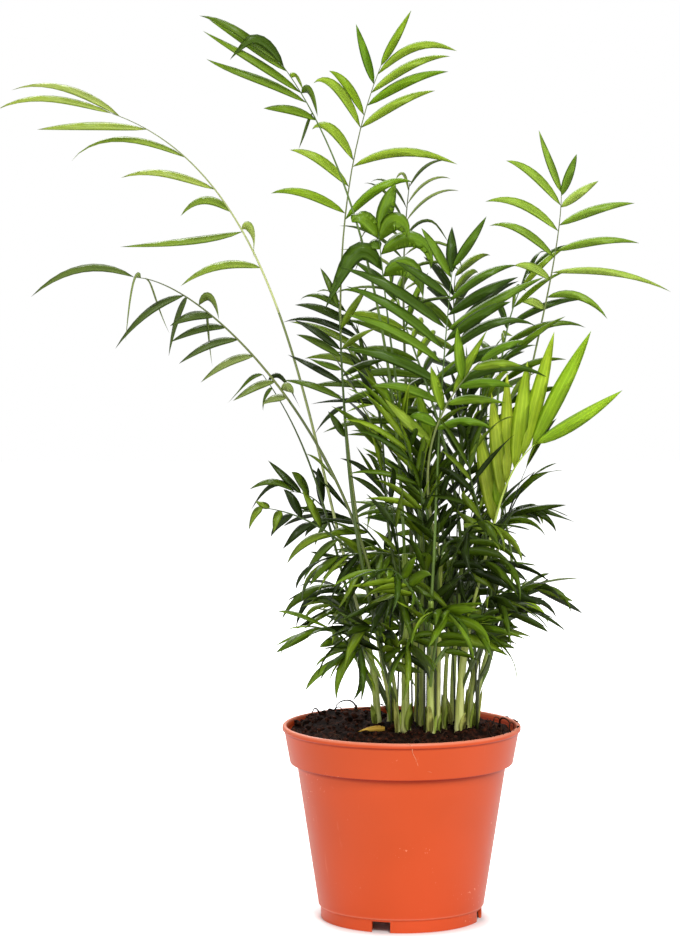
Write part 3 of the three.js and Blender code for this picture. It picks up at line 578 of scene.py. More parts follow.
# Each row is one frond. stem and at say where it leaves; leave and arrive are the rib's
# directions at its two ends, as (lean, heading); spread is the heading its leaflets spread along.
# bare is the share of the rib with no leaflets, and petiole the share that the CAD cuts off.
# Where the leaflets stand out one by one, leaves gives each as (share of the rib, tip's x, how far
# the tip is behind the rib, tip's z, sag), and face is the way their upper sides look.
FRONDS = [
    dict(
        name="west_high", kind="high", tone="pale", stem="a", at=1, tip=(-203, -20, 573), petiole=0.52,
        leave=(17, WEST), arrive=(71, WEST), straight=0.35, tail=0.32, width=7, face=(48, FRONT),
        leaves=[
            (1, -285, -8, 582, 0.3), (0.985, -276, 12, 592, 0.5), (0.93, -255, -8, 560, 0.2),
            (0.84, -240, 14, 548, 0.5), (0.76, -198, -10, 533, 0.3), (0.71, -158, 12, 503, 1),
            (0.67, -199, -5, 482, -0.1), (0.675, -101, -10, 472, 1.6), (0.6, -158, 8, 453, 0.55)]),
    dict(
        name="west_drooping", kind="high", tone="olive", stem="c", at=1, tip=(-185, -70, 460), petiole=0.45,
        leave=(8, WEST), arrive=(90, WEST), straight=0.47, tail=0.15, width=6.5, face=(60, FRONT),
        leaves=[
            (1, -257, 4, 447, 0.7), (0.97, -190, -16, 417, 1.4), (0.95, -166, 14, 418, 1),
            (0.8, -199, -14, 412, 0.5), (0.79, -164, 12, 405, 0.7), (0.75, -126, -12, 430, 2),
            (0.72, -134, 12, 397, 0.8), (0.7, -161, -10, 425, 0.6), (0.66, -161, 10, 413, 0.5),
            (0.62, -155, -8, 399, 0.5), (0.57, -141, 8, 386, 0.5), (0.5, -118, -8, 372, 0.5),
            (0.46, -100, 8, 371, 0.4), (0.48, -76, -8, 378, 1.2)]),
    dict(
        name="west_middle", kind="middle", tone="dark", stem="a", at=0.8, tip=(-98, -30, 391),
        leave=(4, WEST), arrive=(36, WEST), width=5, face=(50, FRONT),
        leaves=[(1, -120, -4, 369, 0.9), (0.97, -74, 4, 366, 1.8), (0.94, -101, 4, 366, 0.9)]),
    dict(
        name="west_low", kind="low", tone="dark", stem="d", at=0.72, tip=(-98, -36, 298),
        leave=(38, WEST), arrive=(84, WEST), width=6.5, face=(50, FRONT),
        leaves=[
            (1, -109, -4, 283, 0.9), (0.96, -104, 6, 303, 0.3), (0.88, -91, -8, 281, 0.8),
            (0.8, -95, 8, 277, 0.5), (0.74, -84, 8, 311, 0.3), (0.66, -83, -8, 267, 0.7),
            (0.6, -70, -6, 310, 0.2), (0.54, -84, 8, 257, 0.5), (0.48, -72, -6, 245, 0.5)]),
    dict(
        name="west_low_back", kind="low", tone="dark", stem="b", at=0.7, tip=(-81, 34, 303),
        leave=(16, WEST), arrive=(92, WEST), width=6, face=(50, FRONT),
        leaves=[
            (0.97, -109, -4, 304, 0.9), (0.93, -96, 6, 326, 0), (0.95, -109, 4, 289, 1.4),
            (0.88, -79, -8, 318, 0.5), (0.84, -74, 8, 282, 0.5), (0.78, -60, -6, 322, 0.3),
            (0.7, -64, 8, 262, 0.5)]),
    dict(
        name="top_west", kind="high", tone="green", stem="d", at=1, tip=(-86, 30, 610),
        leave=(2, WEST), arrive=(37, WEST), straight=0.46, tail=0.23, width=7, curl=2.2, face=(60, FRONT),
        leaves=[
            (1, -144, -6, 650, 0.1), (0.97, -138, 12, 642, 0.1), (0.9, -144, -10, 630, 0.2),
            (0.87, -142, 10, 606, 0.3), (0.985, -122, -14, 612, 1.7), (0.95, -71, 10, 590, 1.9),
            (0.9, -60, -12, 572, 1.6), (0.84, -72, 10, 548, 1), (0.82, -100, -10, 575, 0.5)]),
    dict(
        name="top", kind="high", tone="lime", stem="b", at=1, tip=(-15, 30, 608),
        leave=(10, WEST), arrive=(22, EAST), straight=0.22, tail=0.35, width=7, face=(75, FRONT),
        leaves=[
            (1, 7, 6, 648, 0.05), (0.97, -33, -6, 638, 0.1), (0.985, 40, -8, 616, 0.9),
            (0.955, 36, 10, 617, 0.4), (0.935, 33, -10, 605, 0.3), (0.92, -52, 8, 605, 0.6),
            (0.9, -64, -12, 597, 1), (0.9, 25, 10, 592, 0.3), (0.85, -66, 8, 566, 1),
            (0.84, 41, -10, 535, 0.6), (0.81, -80, -8, 549, 0.5), (0.77, -96, 8, 520, 0.4),
            (0.76, 10, 10, 528, 0.6)]),
    dict(
        name="east_high", kind="high", tone="fresh", stem="m", at=1, tip=(115, 40, 518),
        leave=(17, WEST), arrive=(0, EAST), straight=0.2, tail=0.24, width=6.5, face=(72, FRONT),
        leaves=[
            (1, 98, 6, 563, 0.05), (0.99, 126, -8, 547, 0), (0.955, 143, 6, 528, 0.1),
            (0.96, 74, -10, 541, 0.5), (0.905, 169, 8, 511, 0.25), (0.89, 60, -10, 512, 0.6),
            (0.84, 172, -8, 484, 0.25), (0.825, 62, 8, 497, 0.55), (0.79, 197, 6, 448, 0.3),
            (0.775, 80, -10, 466, 0.5), (0.735, 150, -8, 429, 0.7), (0.71, 84, 12, 440, 0.6)]),
    dict(
        name="east_fan", kind="high", tone="bright", stem="k", at=1, tip=(92, -40, 343),
        leave=(15, EAST), arrive=(48, EAST), straight=0.6, tail=0.25, width=11, face=(82, FRONT),
        leaves=[
            (1, 154, 4, 381, -0.1), (0.97, 131, -6, 423, 0.05), (0.86, 106, 6, 422, 0.05),
            (0.74, 87, -8, 402, 0), (0.6, 73, 6, 393, 0), (0.5, 62, -8, 379, 0.05),
            (0.42, 66, 8, 368, 0.1), (0.34, 52, -4, 356, 0.1)]),
    dict(
        name="centre_broad", kind="high", tone="deep", stem="g", at=1, tip=(34, -44, 466),
        leave=(4, EAST), arrive=(6, EAST), straight=0.28, tail=0.5, width=7.5, face=(70, FRONT),
        leaves=[
            (1, 58, -6, 502, 0), (0.99, 34, 8, 495, 0), (0.98, 12, -4, 494, 0.15),
            (0.94, -6, 14, 471, 0.15), (0.93, 81, 8, 470, 0.35), (0.9, 79, -10, 461, 0.15),
            (0.87, -43, 4, 466, 0.3), (0.865, 99, 10, 460, 0.1), (0.84, 76, -14, 443, 0.3),
            (0.82, -40, 16, 450, 0.4), (0.8, 94, 6, 427, 0.7), (0.785, -41, -8, 433, 0.35),
            (0.75, 84, -8, 412, 0.4), (0.73, -43, 8, 407, 0.4), (0.7, 101, 6, 390, 0.7),
            (0.68, -24, -12, 384, 0.4)]),
    dict(
        name="centre_bright", kind="middle", tone="lime", stem="h", at=1, tip=(52, -70, 402),
        leave=(14, WEST), arrive=(41, EAST), width=7.5, face=(66, FRONT),
        leaves=[
            (1, 84, -6, 418, 0.3), (0.95, 82, 8, 398, 0.4), (0.88, 36, -8, 427, 0.05),
            (0.84, 76, -10, 384, 0.4), (0.8, 58, 8, 424, 0.2), (0.74, 70, 8, 370, 0.5),
            (0.7, 18, -8, 400, 0.3), (0.62, 2, 8, 362, 0.6), (0.6, 62, -8, 356, 0.5),
            (0.54, -14, -8, 376, -0.1), (0.5, 8, 8, 386, 0.2)]),
    dict(
        name="back_fine", kind="high", tone="olive", stem="e", at=1, tip=(7, 90, 525), spread=EAST, pairs=6,
        leave=(8, BACK), arrive=(7, EAST), bare=0.66, reach=68, width=2.7, open=62, fold=10, sag=0.6),
    dict(
        name="centre_west", kind="high", tone="deep", stem="f", at=1, tip=(-17, -20, 490),
        leave=(12, WEST), arrive=(6, WEST), width=13, curl=2.2, twist=1, face=(60, FRONT),
        leaves=[
            (1, -4, 8, 524, 0.3), (0.98, -38, -6, 496, 1.6), (0.97, 6, -10, 482, 2.5),
            (0.94, -34, 10, 462, 1.7), (0.92, 30, 10, 470, 1.2), (0.86, -52, -10, 434, 2.2),
            (0.84, 22, -10, 440, 1.5)]),
    dict(
        name="west_inner", kind="middle", tone="dark", stem="c", at=0.8, tip=(-45, -22, 440), spread=EAST,
        leave=(4, WEST), arrive=(3, WEST), width=5.5, face=(60, FRONT),
        leaves=[
            (0.99, -58, 6, 466, 0.3), (0.86, -76, -4, 430, 0.2), (0.84, -75, 8, 419, 0.2),
            (0.8, -67, -6, 402, 0.1), (0.76, -81, 6, 405, 0.1), (0.71, -84, -4, 387, 0.3),
            (0.69, -63, 10, 348, 0.5), (0.6, -52, -6, 366, 0), (0.92, -24, 6, 452, 0.3),
            (0.86, -16, -6, 424, 0.4), (0.78, -12, 6, 400, 0.4), (0.7, -14, -8, 380, 0.3)]),
]

# The rest of the crown stands in rings round the clump's middle, lowest first.
# In each ring the headings go round from the first, one frond from each stem of its row. A ring
# with twins forks each of its fronds at the foot: twin is the second rib's turn, rise and reach.
MIDDLE = (22, 6)
RINGS = [
    dict(ring="skirt", kind="low", tones=("dark", "green"), height=224, out=76, at=0.45, leave=24, arrive=104,
         stems="lmnebacgk", first=2, step=39, twin=(24, -12, 0.8)),
    dict(ring="belt", kind="low", tones=("dark", "dark", "green"), height=276, out=80, at=0.72, leave=12,
         arrive=88, stems="injefgh", first=20, step=46, twin=(26, -30, 0.75)),
    dict(ring="waist", kind="middle", tones=("dark", "green"), height=368, out=48, at=0.84, leave=9,
         arrive=30, stems="lmjfdh", first=-56, step=58),
    dict(ring="rear", kind="high", tones=("green", "dark"), height=462, out=82, at=1, leave=4, arrive=40,
         stems="lnji", first=44, step=32),
]
PLAY_HEIGHT, PLAY_OUT, PLAY_HEADING = 0.07, 0.14, 9


def ring_fronds():
    """The rows of the ring fronds, each a little out of line with the next."""
    random = seeded(2027)
    rows = []
    for ring in RINGS:
        for index, stem in enumerate(ring["stems"]):
            heading = ring["first"] + ring["step"] * index + PLAY_HEADING * swing(random)
            out = ring["out"] * (1 + PLAY_OUT * swing(random))
            top = ring["height"] * (1 + PLAY_HEIGHT * swing(random))
            name = f"{ring['ring']}_{index + 1}"
            forks = [(name, 0, 0, 1)]
            if "twin" in ring:
                forks.append((name + "_twin", *ring["twin"]))
            for fork, turn, rise, share in forks:
                x, y, _ = direction(90, heading + turn) * out * share
                rows.append(dict(
                    name=fork, node=name, kind=ring["kind"], stem=stem, at=ring["at"],
                    tone=ring["tones"][index % len(ring["tones"])],
                    tip=(MIDDLE[0] + x, MIDDLE[1] + y, top + rise),
                    leave=(ring["leave"], heading), arrive=(ring["arrive"], heading + turn)))
    return rows


def rib_radius(share):
    return mix(RIB_FOOT_RADIUS, RIB_TIP_RADIUS, share)


def frond_foot(frond, at):
    """Where a frond leaves its stem: the tip, or the side that faces the way it leans."""
    line = stem_line(frond["stem"])
    lean, heading = frond["leave"]
    point = curve_point(line, at)
    if frond["at"] == 1:
        return point + (0, 0, CLEAR + RIB_FOOT_RADIUS * math.sin(math.radians(lean)))
    along = curve_ahead(line, at)
    outward = direction(90, heading)
    outward = unit(outward - outward.dot(along) * along)
    return point + outward * (stem_radius(frond["stem"], at) + CLEAR + RIB_FOOT_RADIUS)


def frond_start(frond, at):
    """The way a frond sets off: off the tip as its row says, off the side a lean away from the stem."""
    lean, heading = frond["leave"]
    if frond["at"] == 1:
        return direction(lean, heading)
    away = math.tan(math.radians(lean))
    return unit(curve_ahead(stem_line(frond["stem"]), at) + away * direction(90, heading))


def rib_line(frond, partner, at, sway):
    """The rib's middle line. The sway pushes it sideways between its two ends."""
    if partner:
        foot, start = curve_point(partner["line"], FORK), curve_ahead(partner["line"], FORK)
        start = unit(start + FORK_SPREAD * direction(90, frond["arrive"][1]))
    else:
        foot, start = frond_foot(frond, at), frond_start(frond, at)
    tip = np.array(frond["tip"], float)
    chord = np.linalg.norm(tip - foot)
    aside = sway * unit(np.array([foot[1] - tip[1], tip[0] - foot[0], 0]))
    first = foot + start * frond.get("straight", 0.4) * chord + aside
    second = tip - direction(*frond["arrive"]) * frond.get("tail", 0.3) * chord + aside
    return [foot, first, second, tip]


route_shares = np.linspace(0, 1, ROUTE_SAMPLES + 1)
routes = [
    (stem, None, curve_point(stem_line(stem), route_shares), stem_radius(stem, route_shares))
    for stem in STEMS
]


def route_is_clear(points, frond):
    for stem, node, others, radii in routes:
        own_stem = stem == frond["stem"] and not node
        if node == frond["node"] or own_stem and frond["at"] == 1:
            continue
        spare = 0.3 * CLEAR if own_stem else ROUTE_SPARE
        apart = np.linalg.norm(points[:, None] - others[None], axis=2)
        if np.any(apart < rib_radius(route_shares)[:, None] + radii[None] + spare):
            return False
    return True


def clear_rib_line(frond):
    """Tries the frond's own foot first, then feet a little lower or higher on the stem's side."""
    partner = next((other for other in fronds if other["node"] == frond["node"]), None)
    slips = (0,) if partner or frond["at"] == 1 else SLIPS
    for slip in slips:
        for sway in SWAYS:
            line = rib_line(frond, partner, frond["at"] + slip, sway)
            points = curve_point(line, route_shares)
            if route_is_clear(points, frond):
                routes.append((frond["stem"], frond["node"], points, rib_radius(route_shares)))
                return line
    raise ValueError(frond["name"] + " finds no clear way through the clump")


def rib_frame(frond, share):
    """The rib's point at a share, and its directions there: ahead, across and the upper side."""
    at, ahead = curve_point(frond["line"], share), curve_ahead(frond["line"], share)
    spread = direction(90, frond.get("spread", frond["arrive"][1] - 90))
    across = unit(spread - spread.dot(ahead) * ahead)
    return at, ahead, across, unit(np.cross(across, ahead))


def sheath_path(frond):
    """The line by which a side frond's stalk comes out from its stem's middle to its rib's foot."""
    stem = stem_line(frond["stem"])
    foot, start = frond["line"][0], curve_ahead(frond["line"], 0)
    rise = (foot[2] - SHEATH_RISE - stem[0][2]) / (stem[2][2] - stem[0][2])
    below = curve_point(stem, max(0, rise))
    return [below, foot - start * SHEATH_RISE * 0.5, foot]


def build_rib(frond, start, end, shape=None):
    """A stretch of rib: a round rod that is flattened on its upper side and ends in a fine tip."""
    frames = [rib_frame(frond, mix(start, end, step / RIB_STEPS)) for step in range(RIB_STEPS + 1)]
    if start == 0 and frond["at"] < 1 and frond["name"] == frond["node"]:
        _, _, across, over = frames[0]
        path = sheath_path(frond)
        inner = [curve_point(path, step / SHEATH_STEPS) for step in range(SHEATH_STEPS)]
        frames = [(at, None, across, over) for at in inner] + frames
    steps = len(frames) - 1
    extra = steps - RIB_STEPS

    def place(turn, share):
        step = round(share * steps)
        at, _, across, over = frames[step]
        along = mix(start, end, max(0, step - extra) / RIB_STEPS)
        radius = mix(RIB_FOOT_RADIUS, RIB_END_RADIUS, along ** RIB_TAPER) * frond.get("slim", 1)
        rise = math.sin(turn) * (RIB_FLAT if math.sin(turn) > 0 else 1)
        return at + radius * (math.cos(turn) * across + rise * over)

    shape = shape or new_tubes()
    add_tube(shape, RIB_SIDES, steps, place)
    return shape


def rib_material(name, foot, tip):
    """A smooth green rod with fine lengthwise lines, from its foot's colour to its tip's."""
    material = new_material(name, Roughness=0.4, Specular_IOR_Level=0.45)
    lines = speckle(material, "UV", 1, stretch=(18, 5, 1), Detail=3)
    tone = ramp(material, along_axis(material, "UV", "Y"), (0.1, foot), (0.9, tip))
    tone = shaded(material, tone, 0.6, lines, (0.3, (196, 204, 160)), (0.7, 1))
    coat(material, tone, (lines, 0.15, 0.8))
    return material


# For each tone, the colours of its ribs at the foot and at the tip.
RIB_COLOURS = {
    "fresh": ((150, 162, 92), (104, 118, 62)),
    "bright": ((196, 210, 110), (190, 216, 84)),
    "pale": ((206, 214, 146), (120, 134, 76)),
    "lime": ((190, 200, 126), (104, 118, 62)),
    "olive": ((112, 122, 62), (84, 96, 48)),
    "green": ((120, 146, 66), (84, 112, 46)),
    "deep": ((112, 138, 60), (84, 112, 46)),
    "dark": ((84, 100, 40), (62, 84, 30)),
}
rib_paints = {tone: rib_material(f"{tone}_rib", *ends) for tone, ends in RIB_COLOURS.items()}

fronds = []
for index, row in enumerate([*FRONDS, *ring_fronds()]):
    frond = {"seed": 11 + 7 * index, "node": row["name"], **KIND[row["kind"]], **row}
    frond["line"] = clear_rib_line(frond)
    fronds.append(frond)
for frond in fronds:
    petiole = frond.get("petiole", 0)
    stretches = [(f"rib_{frond['name']}", f"frond_{frond['node']}", petiole, 1)]
    if petiole:
        stretches.append((f"stalk_{frond['name']}", f"petiole_{frond['name']}", 0, petiole))
    for name, node, start, end in stretches:
        rib_shape = build_rib(frond, start, end)
        take_up_shape(frond["name"], rib_shape)
        rib = new_piece(name, rib_shape, rib_paints[frond["tone"]])
        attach(rib, "root")
        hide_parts(node)

# ---------------------------------------------------------------- leaflets
# The leaflets: thin, glossy, pointed blades in two rows along each rib, folded down a little
# along the midrib and arched towards their tips. A leaflet that finds no room is left out.

LEAF_STEPS = 10
LEAF_BASE, LEAF_TAPER = 5, 2.9
REACH_LEAST, REACH_SWELL, SWELL_START, SWELL_RUN = 0.62, 0.38, 0.12, 0.7
LEAF_THICK, LEAF_CREASE, LEAF_CROWN = 0.36, 0.3, 0.12
PLAY_ANGLE, PLAY_FOLD, PLAY_LENGTH, PLAY_DROOP, PLAY_CURL = 7, 12, 0.1, 0.4, 0.6
ALTERNATE = 0.012
TRIES = ((0, 1), (10, 1), (-10, 1), (20, 0.95), (-20, 0.95), (32, 0.9), (-32, 0.9), (12, 0.65), (-14, 0.6))
LEAST_LEAFLET, ROOT_SUNK = 12, 0.3
CURL_START, CURL_POWER, ROLL_POWER = 0.4, 1.5, 1.3

# A bud is a small ball of rings; each leaflet is that ball drawn out into a blade. The six
# corners of a ring become an edge, the upper side's three and the other edge, and the keel.
bud = bmesh.new()
bmesh.ops.create_uvsphere(bud, u_segments=6, v_segments=LEAF_STEPS, radius=1)
bud.verts.ensure_lookup_table()
bud_points = np.array([corner.co for corner in bud.verts])
bud_faces = [[corner.index for corner in face.verts] for face in bud.faces]
bud.free()
bud_ring = np.rint(np.arccos(-bud_points[:, 2].clip(-1, 1)) / math.pi * LEAF_STEPS).astype(int)
bud_slot = np.rint(np.arctan2(bud_points[:, 1], bud_points[:, 0]) / (math.pi / 3)).astype(int) % 6
inside = (bud_ring > 0) & (bud_ring < LEAF_STEPS)
bud_across = np.where(inside, np.array([1, 0.52, 0, -0.52, -1, 0])[bud_slot], 0)
bud_lift = np.where(inside, np.array([0, 0, 0.5, 0, 0, -0.5])[bud_slot], 0)
bud_crown = np.where(inside, np.array([0, 1, 0, 1, 0, 0])[bud_slot], 0)
leaf_shares = np.linspace(0, 1, LEAF_STEPS + 1)
leaf_profile = (1 - (1 - leaf_shares) ** LEAF_BASE) ** 0.8 * (1 - leaf_shares ** LEAF_TAPER)
leaf_profile /= leaf_profile.max()


def leaflet_rows(frond):
    """The places and directions of all leaflets on a frond, from its named sizes."""
    random = seeded(frond["seed"])
    rows = []
    for share, *tip, sag in frond.get("leaves", ()):
        rows.append(dict(
            share=share, tip=tip, droop=sag, width=frond["width"] * (1 + PLAY_LENGTH * swing(random)),
            curl=frond["curl"] * swing(random), twist=frond["twist"] * swing(random)))
    if rows:
        return rows
    pairs = round(frond["pairs"] * frond["finer"])
    for pair in range(pairs + 1):
        along = pair / pairs
        bulge = math.sin(math.pi * (SWELL_START + SWELL_RUN * along))
        swell = frond["last"] if pair == pairs else REACH_LEAST + REACH_SWELL * bulge
        for side in (-1, 1):
            angle_play, length_play, droop_play, fold_play, twist_play = (
                frond["play"] * swing(random) for _ in range(5))
            rows.append(dict(
                share=mix(frond["bare"], 1, along) - ALTERNATE * (1 if side > 0 else 2), side=side,
                angle=mix(frond["open"], frond["close"], along) + PLAY_ANGLE * angle_play,
                fold=frond["fold"] + PLAY_FOLD * fold_play,
                length=frond["reach"] * swell * (1 + PLAY_LENGTH * length_play),
                width=frond["width"] / math.sqrt(frond["finer"]) * (1 + PLAY_LENGTH * twist_play),
                droop=frond["sag"] * (1 + PLAY_DROOP * droop_play),
                curl=frond["curl"] * (1 + PLAY_CURL * droop_play),
                twist=frond["twist"] * twist_play))
    return rows


def place_leaflet(frond, row, lift, stretch):
    """A leaflet's root and directions: its way out, its width and the way it bends."""
    at, ahead, across, over = rib_frame(frond, row["share"])
    if "tip" in row:
        x, behind, z = row["tip"]
        chord = np.array([x, at[1] + behind, z]) - at
        length = np.linalg.norm(chord)
        bend = np.array([0, 0, -row["droop"]])
        way = chord / length + np.array([0, math.sin(math.radians(lift)), 0]) - bend
        wide = unit(np.cross(way, direction(*frond["face"])))
    else:
        angle, fold = math.radians(row["angle"]), math.radians(row["fold"] - lift)
        aside = across * row["side"] * math.cos(fold) - over * math.sin(fold)
        length = row["length"]
        bend = aside * frond["arch"] - np.array([0, 0, row["droop"]])
        way = unit(ahead * math.cos(angle) + aside * math.sin(angle))
        wide = unit(ahead - ahead.dot(way) * way) * -row["side"]
    return dict(
        root=at - unit(way) * ROOT_SUNK * rib_radius(row["share"]), way=way, wide=wide, bend=bend,
        length=length * stretch, width=row["width"] * math.sqrt(stretch),
        curl=row["curl"], twist=row["twist"])


def carried(vector, start, ends):
    """A vector carried along with a direction that turns from its start to each of its ends."""
    axis = np.cross(start, ends)
    level = ends.dot(start)[:, None]
    return vector * level + np.cross(axis, vector) + axis * axis.dot(vector)[:, None] / (1.02 + level)


def blade_points(leaf, grow=0):
    """The corners of one leaflet: the bud's rings strung along a bent, curling midrib."""
    ahead = leaf["way"] + 2 * leaf_shares[:, None] * leaf["bend"]
    turn = -leaf["curl"] * np.maximum(0, leaf_shares - CURL_START)[:, None] ** CURL_POWER
    ridge = unit(np.cross(leaf["wide"], ahead))
    pace = np.linalg.norm(ahead, axis=1, keepdims=True)
    ahead = ahead * np.cos(turn) + ridge * pace * np.sin(turn)
    steps = (ahead[1:] + ahead[:-1]) / 2 / LEAF_STEPS
    spine = np.vstack([np.zeros(3), np.cumsum(steps, axis=0)]) * leaf["length"] + leaf["root"]
    spine = spine + grow * (2 * leaf_shares[:, None] - 1) * leaf["way"]
    level = unit(carried(leaf["wide"], unit(leaf["way"]), unit(ahead)))
    ridge = unit(np.cross(level, ahead))
    roll = leaf["twist"] * leaf_shares[:, None] ** ROLL_POWER
    wide = level * np.cos(roll) + ridge * np.sin(roll)
    ridge = ridge * np.cos(roll) - level * np.sin(roll)
    half = (0.5 * leaf["width"] * leaf_profile + grow)[bud_ring]
    thick = (LEAF_THICK * (0.35 + 0.65 * (1 - leaf_shares)) + 2 * grow)[bud_ring]
    raised = bud_lift * thick + half * (LEAF_CROWN * bud_crown - LEAF_CREASE * np.abs(bud_across))
    raised = raised + grow * bud_crown
    out = (half * bud_across)[:, None] * wide[bud_ring]
    return spine[bud_ring] + out + raised[:, None] * ridge[bud_ring]


def is_clear(points, owner):
    low, high = points.min(0), points.max(0)
    near = [
        tree for name, tree, lowest, highest in taken
        if name != owner and np.all(lowest <= high) and np.all(low <= highest)
    ]
    if not near:
        return True
    blade = BVHTree.FromPolygons(points.tolist(), bud_faces)
    return not any(blade.overlap(tree) for tree in near)


def grow_leaflets(frond):
    """The corners of each leaflet that finds room, after trying other lifts and lengths."""
    grown = []
    for row in leaflet_rows(frond):
        for lift, stretch in TRIES:
            leaf = place_leaflet(frond, row, lift, stretch)
            if leaf["length"] < LEAST_LEAFLET or not is_clear(blade_points(leaf, CLEAR), frond["name"]):
                continue
            points = blade_points(leaf)
            tree = BVHTree.FromPolygons(points.tolist(), bud_faces)
            take_up(frond["name"], tree, points)
            grown.append(points)
            break
    return grown


def leaf_material(name, tint, glow):
    """A glossy leaf skin with pale parallel veins that lets the light through."""
    material = new_material(name, Roughness=0.38, Specular_IOR_Level=0.34)
    veins = speckle(material, "UV", 1, stretch=(7, 0.7, 1), Detail=3)
    cells = speckle(material, "Object", 60, Detail=2)
    tone = shaded(material, tint, 0.7, veins, (0.36, (188, 204, 140)), (0.62, (255, 255, 240)))
    tone = shaded(material, tone, 0.4, cells, (0.35, (206, 222, 180)), (0.65, 1))
    coat(material, tone, (veins, 0.2, 0.6))
    tree = material.node_tree
    through = add_node(material, "BsdfTranslucent", {"Color": tone})
    skin = tree.nodes["Principled BSDF"].outputs["BSDF"]
    both = add_node(material, "MixShader", {0: glow, 1: skin, 2: through.outputs["BSDF"]})
    tree.links.new(both.outputs["Shader"], tree.nodes["Material Output"].inputs["Surface"])
    return material


# For each tone, the share of light it lets through and four tints, dealt out leaf by leaf.
LEAF_TINTS = {
    # The bright tints paint in the glow of the fan's leaves that are lit from behind, on top of the light
    # they let through.
    "bright": (0.72, (244, 252, 122), (234, 250, 104), (250, 254, 158), (216, 242, 88)),
    "pale": (0.5, (208, 222, 116), (192, 212, 98), (222, 232, 146), (174, 198, 84)),
    "lime": (0.5, (184, 212, 60), (166, 202, 50), (200, 222, 88), (146, 186, 48)),
    "fresh": (0.45, (196, 222, 96), (176, 206, 80), (210, 230, 118), (154, 188, 66)),
    "olive": (0.36, (144, 162, 80), (122, 142, 66), (168, 182, 112), (100, 120, 54)),
    "green": (0.32, (136, 168, 34), (114, 144, 28), (174, 202, 50), (84, 114, 20)),
    "deep": (0.32, (106, 142, 28), (88, 120, 22), (132, 168, 40), (72, 102, 16)),
    "dark": (0.28, (70, 92, 16), (98, 124, 24), (48, 66, 10), (136, 160, 38)),
}
leaf_skins = {
    tone: [leaf_material(f"{tone}_leaf_{number}", tint, glow) for number, tint in enumerate(tints, 1)]
    for tone, (glow, *tints) in LEAF_TINTS.items()
}


def join_blades(name, blades, skins, random):
    """One mesh of all the blades, each with a skin of its own dealt out to it."""
    mesh = bpy.data.meshes.new(name)
    count = len(bud_points)
    starts = range(0, count * len(blades), count)
    faces = [[start + corner for corner in face] for start in starts for face in bud_faces]
    mesh.from_pydata((np.vstack(blades) * MM).tolist(), [], faces)
    dealt = np.repeat([int(len(skins) * next(random)) for _ in blades], len(bud_faces))
    mesh.polygons.foreach_set("material_index", dealt)
    along = mesh.uv_layers.new(name="along").data
    corners = np.empty(len(mesh.loops), int)
    mesh.loops.foreach_get("vertex_index", corners)
    local = corners % count
    spread = np.stack([(bud_across[local] + 1) / 2, bud_ring[local] / LEAF_STEPS], axis=1)
    along.foreach_set("uv", spread.ravel())
    return smooth_piece(name, mesh, skins)


tint_deal = seeded(431)
for frond in fronds:
    leaflets = join_blades(
        f"leaflets_{frond['name']}", grow_leaflets(frond), leaf_skins[frond["tone"]], tint_deal)
    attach(leaflets, "root")
    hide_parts(f"frond_{frond['node']}")

# ---------------------------------------------------------------- sprouts
# The youngest seedlings: dark stalks as thin as wire that come up between the stems, each with
# one small upright frond. They fill the clump's middle, and a sprout that finds no way is left out.

SPROUTS, SPROUT_SLIM = 34, 0.6
SPROUT_SPREAD, SPROUT_LEAN = (34, 24), (0.1, 0.42)
SPROUT_TOPS, SPROUT_STRAIGHT, SPROUT_TAIL = (232, 370), 0.55, 0.25
SPROUT_KIND = dict(
    at=1, bare=0.62, pairs=3, finer=1, reach=46, width=5.2, open=46, close=12, fold=22, arch=0.1, sag=0.14,
    last=0.95, curl=0.8, twist=1.4, play=2, slim=SPROUT_SLIM, tone="dark", stem=None)

sprout_play = seeded(5087)
sprouts = []
for number in range(SPROUTS):
    away, turn = math.sqrt(next(sprout_play)), 2 * math.pi * next(sprout_play)
    x = MIDDLE[0] + SPROUT_SPREAD[0] * away * math.cos(turn)
    y = MIDDLE[1] + SPROUT_SPREAD[1] * away * math.sin(turn)
    foot = np.array([x, y, peat_top(x, y) - 1])
    rise = mix(*SPROUT_TOPS, next(sprout_play)) - foot[2]
    out = rise * mix(*SPROUT_LEAN, next(sprout_play)) * away * 0.6
    heading = math.degrees(turn)
    tip = foot + (0, 0, rise) + out * direction(90, heading)
    sprout = dict(
        SPROUT_KIND, name=f"sprout_{number}", node=f"sprout_{number}", seed=300 + 13 * number,
        arrive=(30, heading))
    for sway in SWAYS:
        aside = sway * direction(90, heading + 90)
        first = foot + (0, 0, SPROUT_STRAIGHT * rise) + aside
        line = [foot, first, tip - SPROUT_TAIL * rise * direction(24, heading) + aside, tip]
        points = curve_point(line, route_shares)
        if route_is_clear(points, sprout):
            sprout["line"] = line
            routes.append((None, sprout["node"], points, SPROUT_SLIM * rib_radius(route_shares)))
            sprouts.append(sprout)
            break

stalks_shape = new_tubes()
for sprout in sprouts:
    build_rib(sprout, 0, 1, stalks_shape)
    take_up_shape(sprout["name"], build_rib(sprout, 0, 1))
stalk_paint = rib_material("wiry_stalk", (66, 74, 34), (70, 92, 34))
stalks = new_piece("sprout_stalks", stalks_shape, stalk_paint)
sprout_blades = [points for sprout in sprouts for points in grow_leaflets(sprout)]
sprout_leaves = join_blades("sprout_leaflets", sprout_blades, leaf_skins["dark"], tint_deal)
for piece in (stalks, sprout_leaves):
    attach(piece, "root")

# ---------------------------------------------------------------- old sheaths
# Short pointed sheaths left by the first leaves: pale ones that still clasp the stems' feet, and
# one that has dried, turned yellow-brown and dropped on the peat.

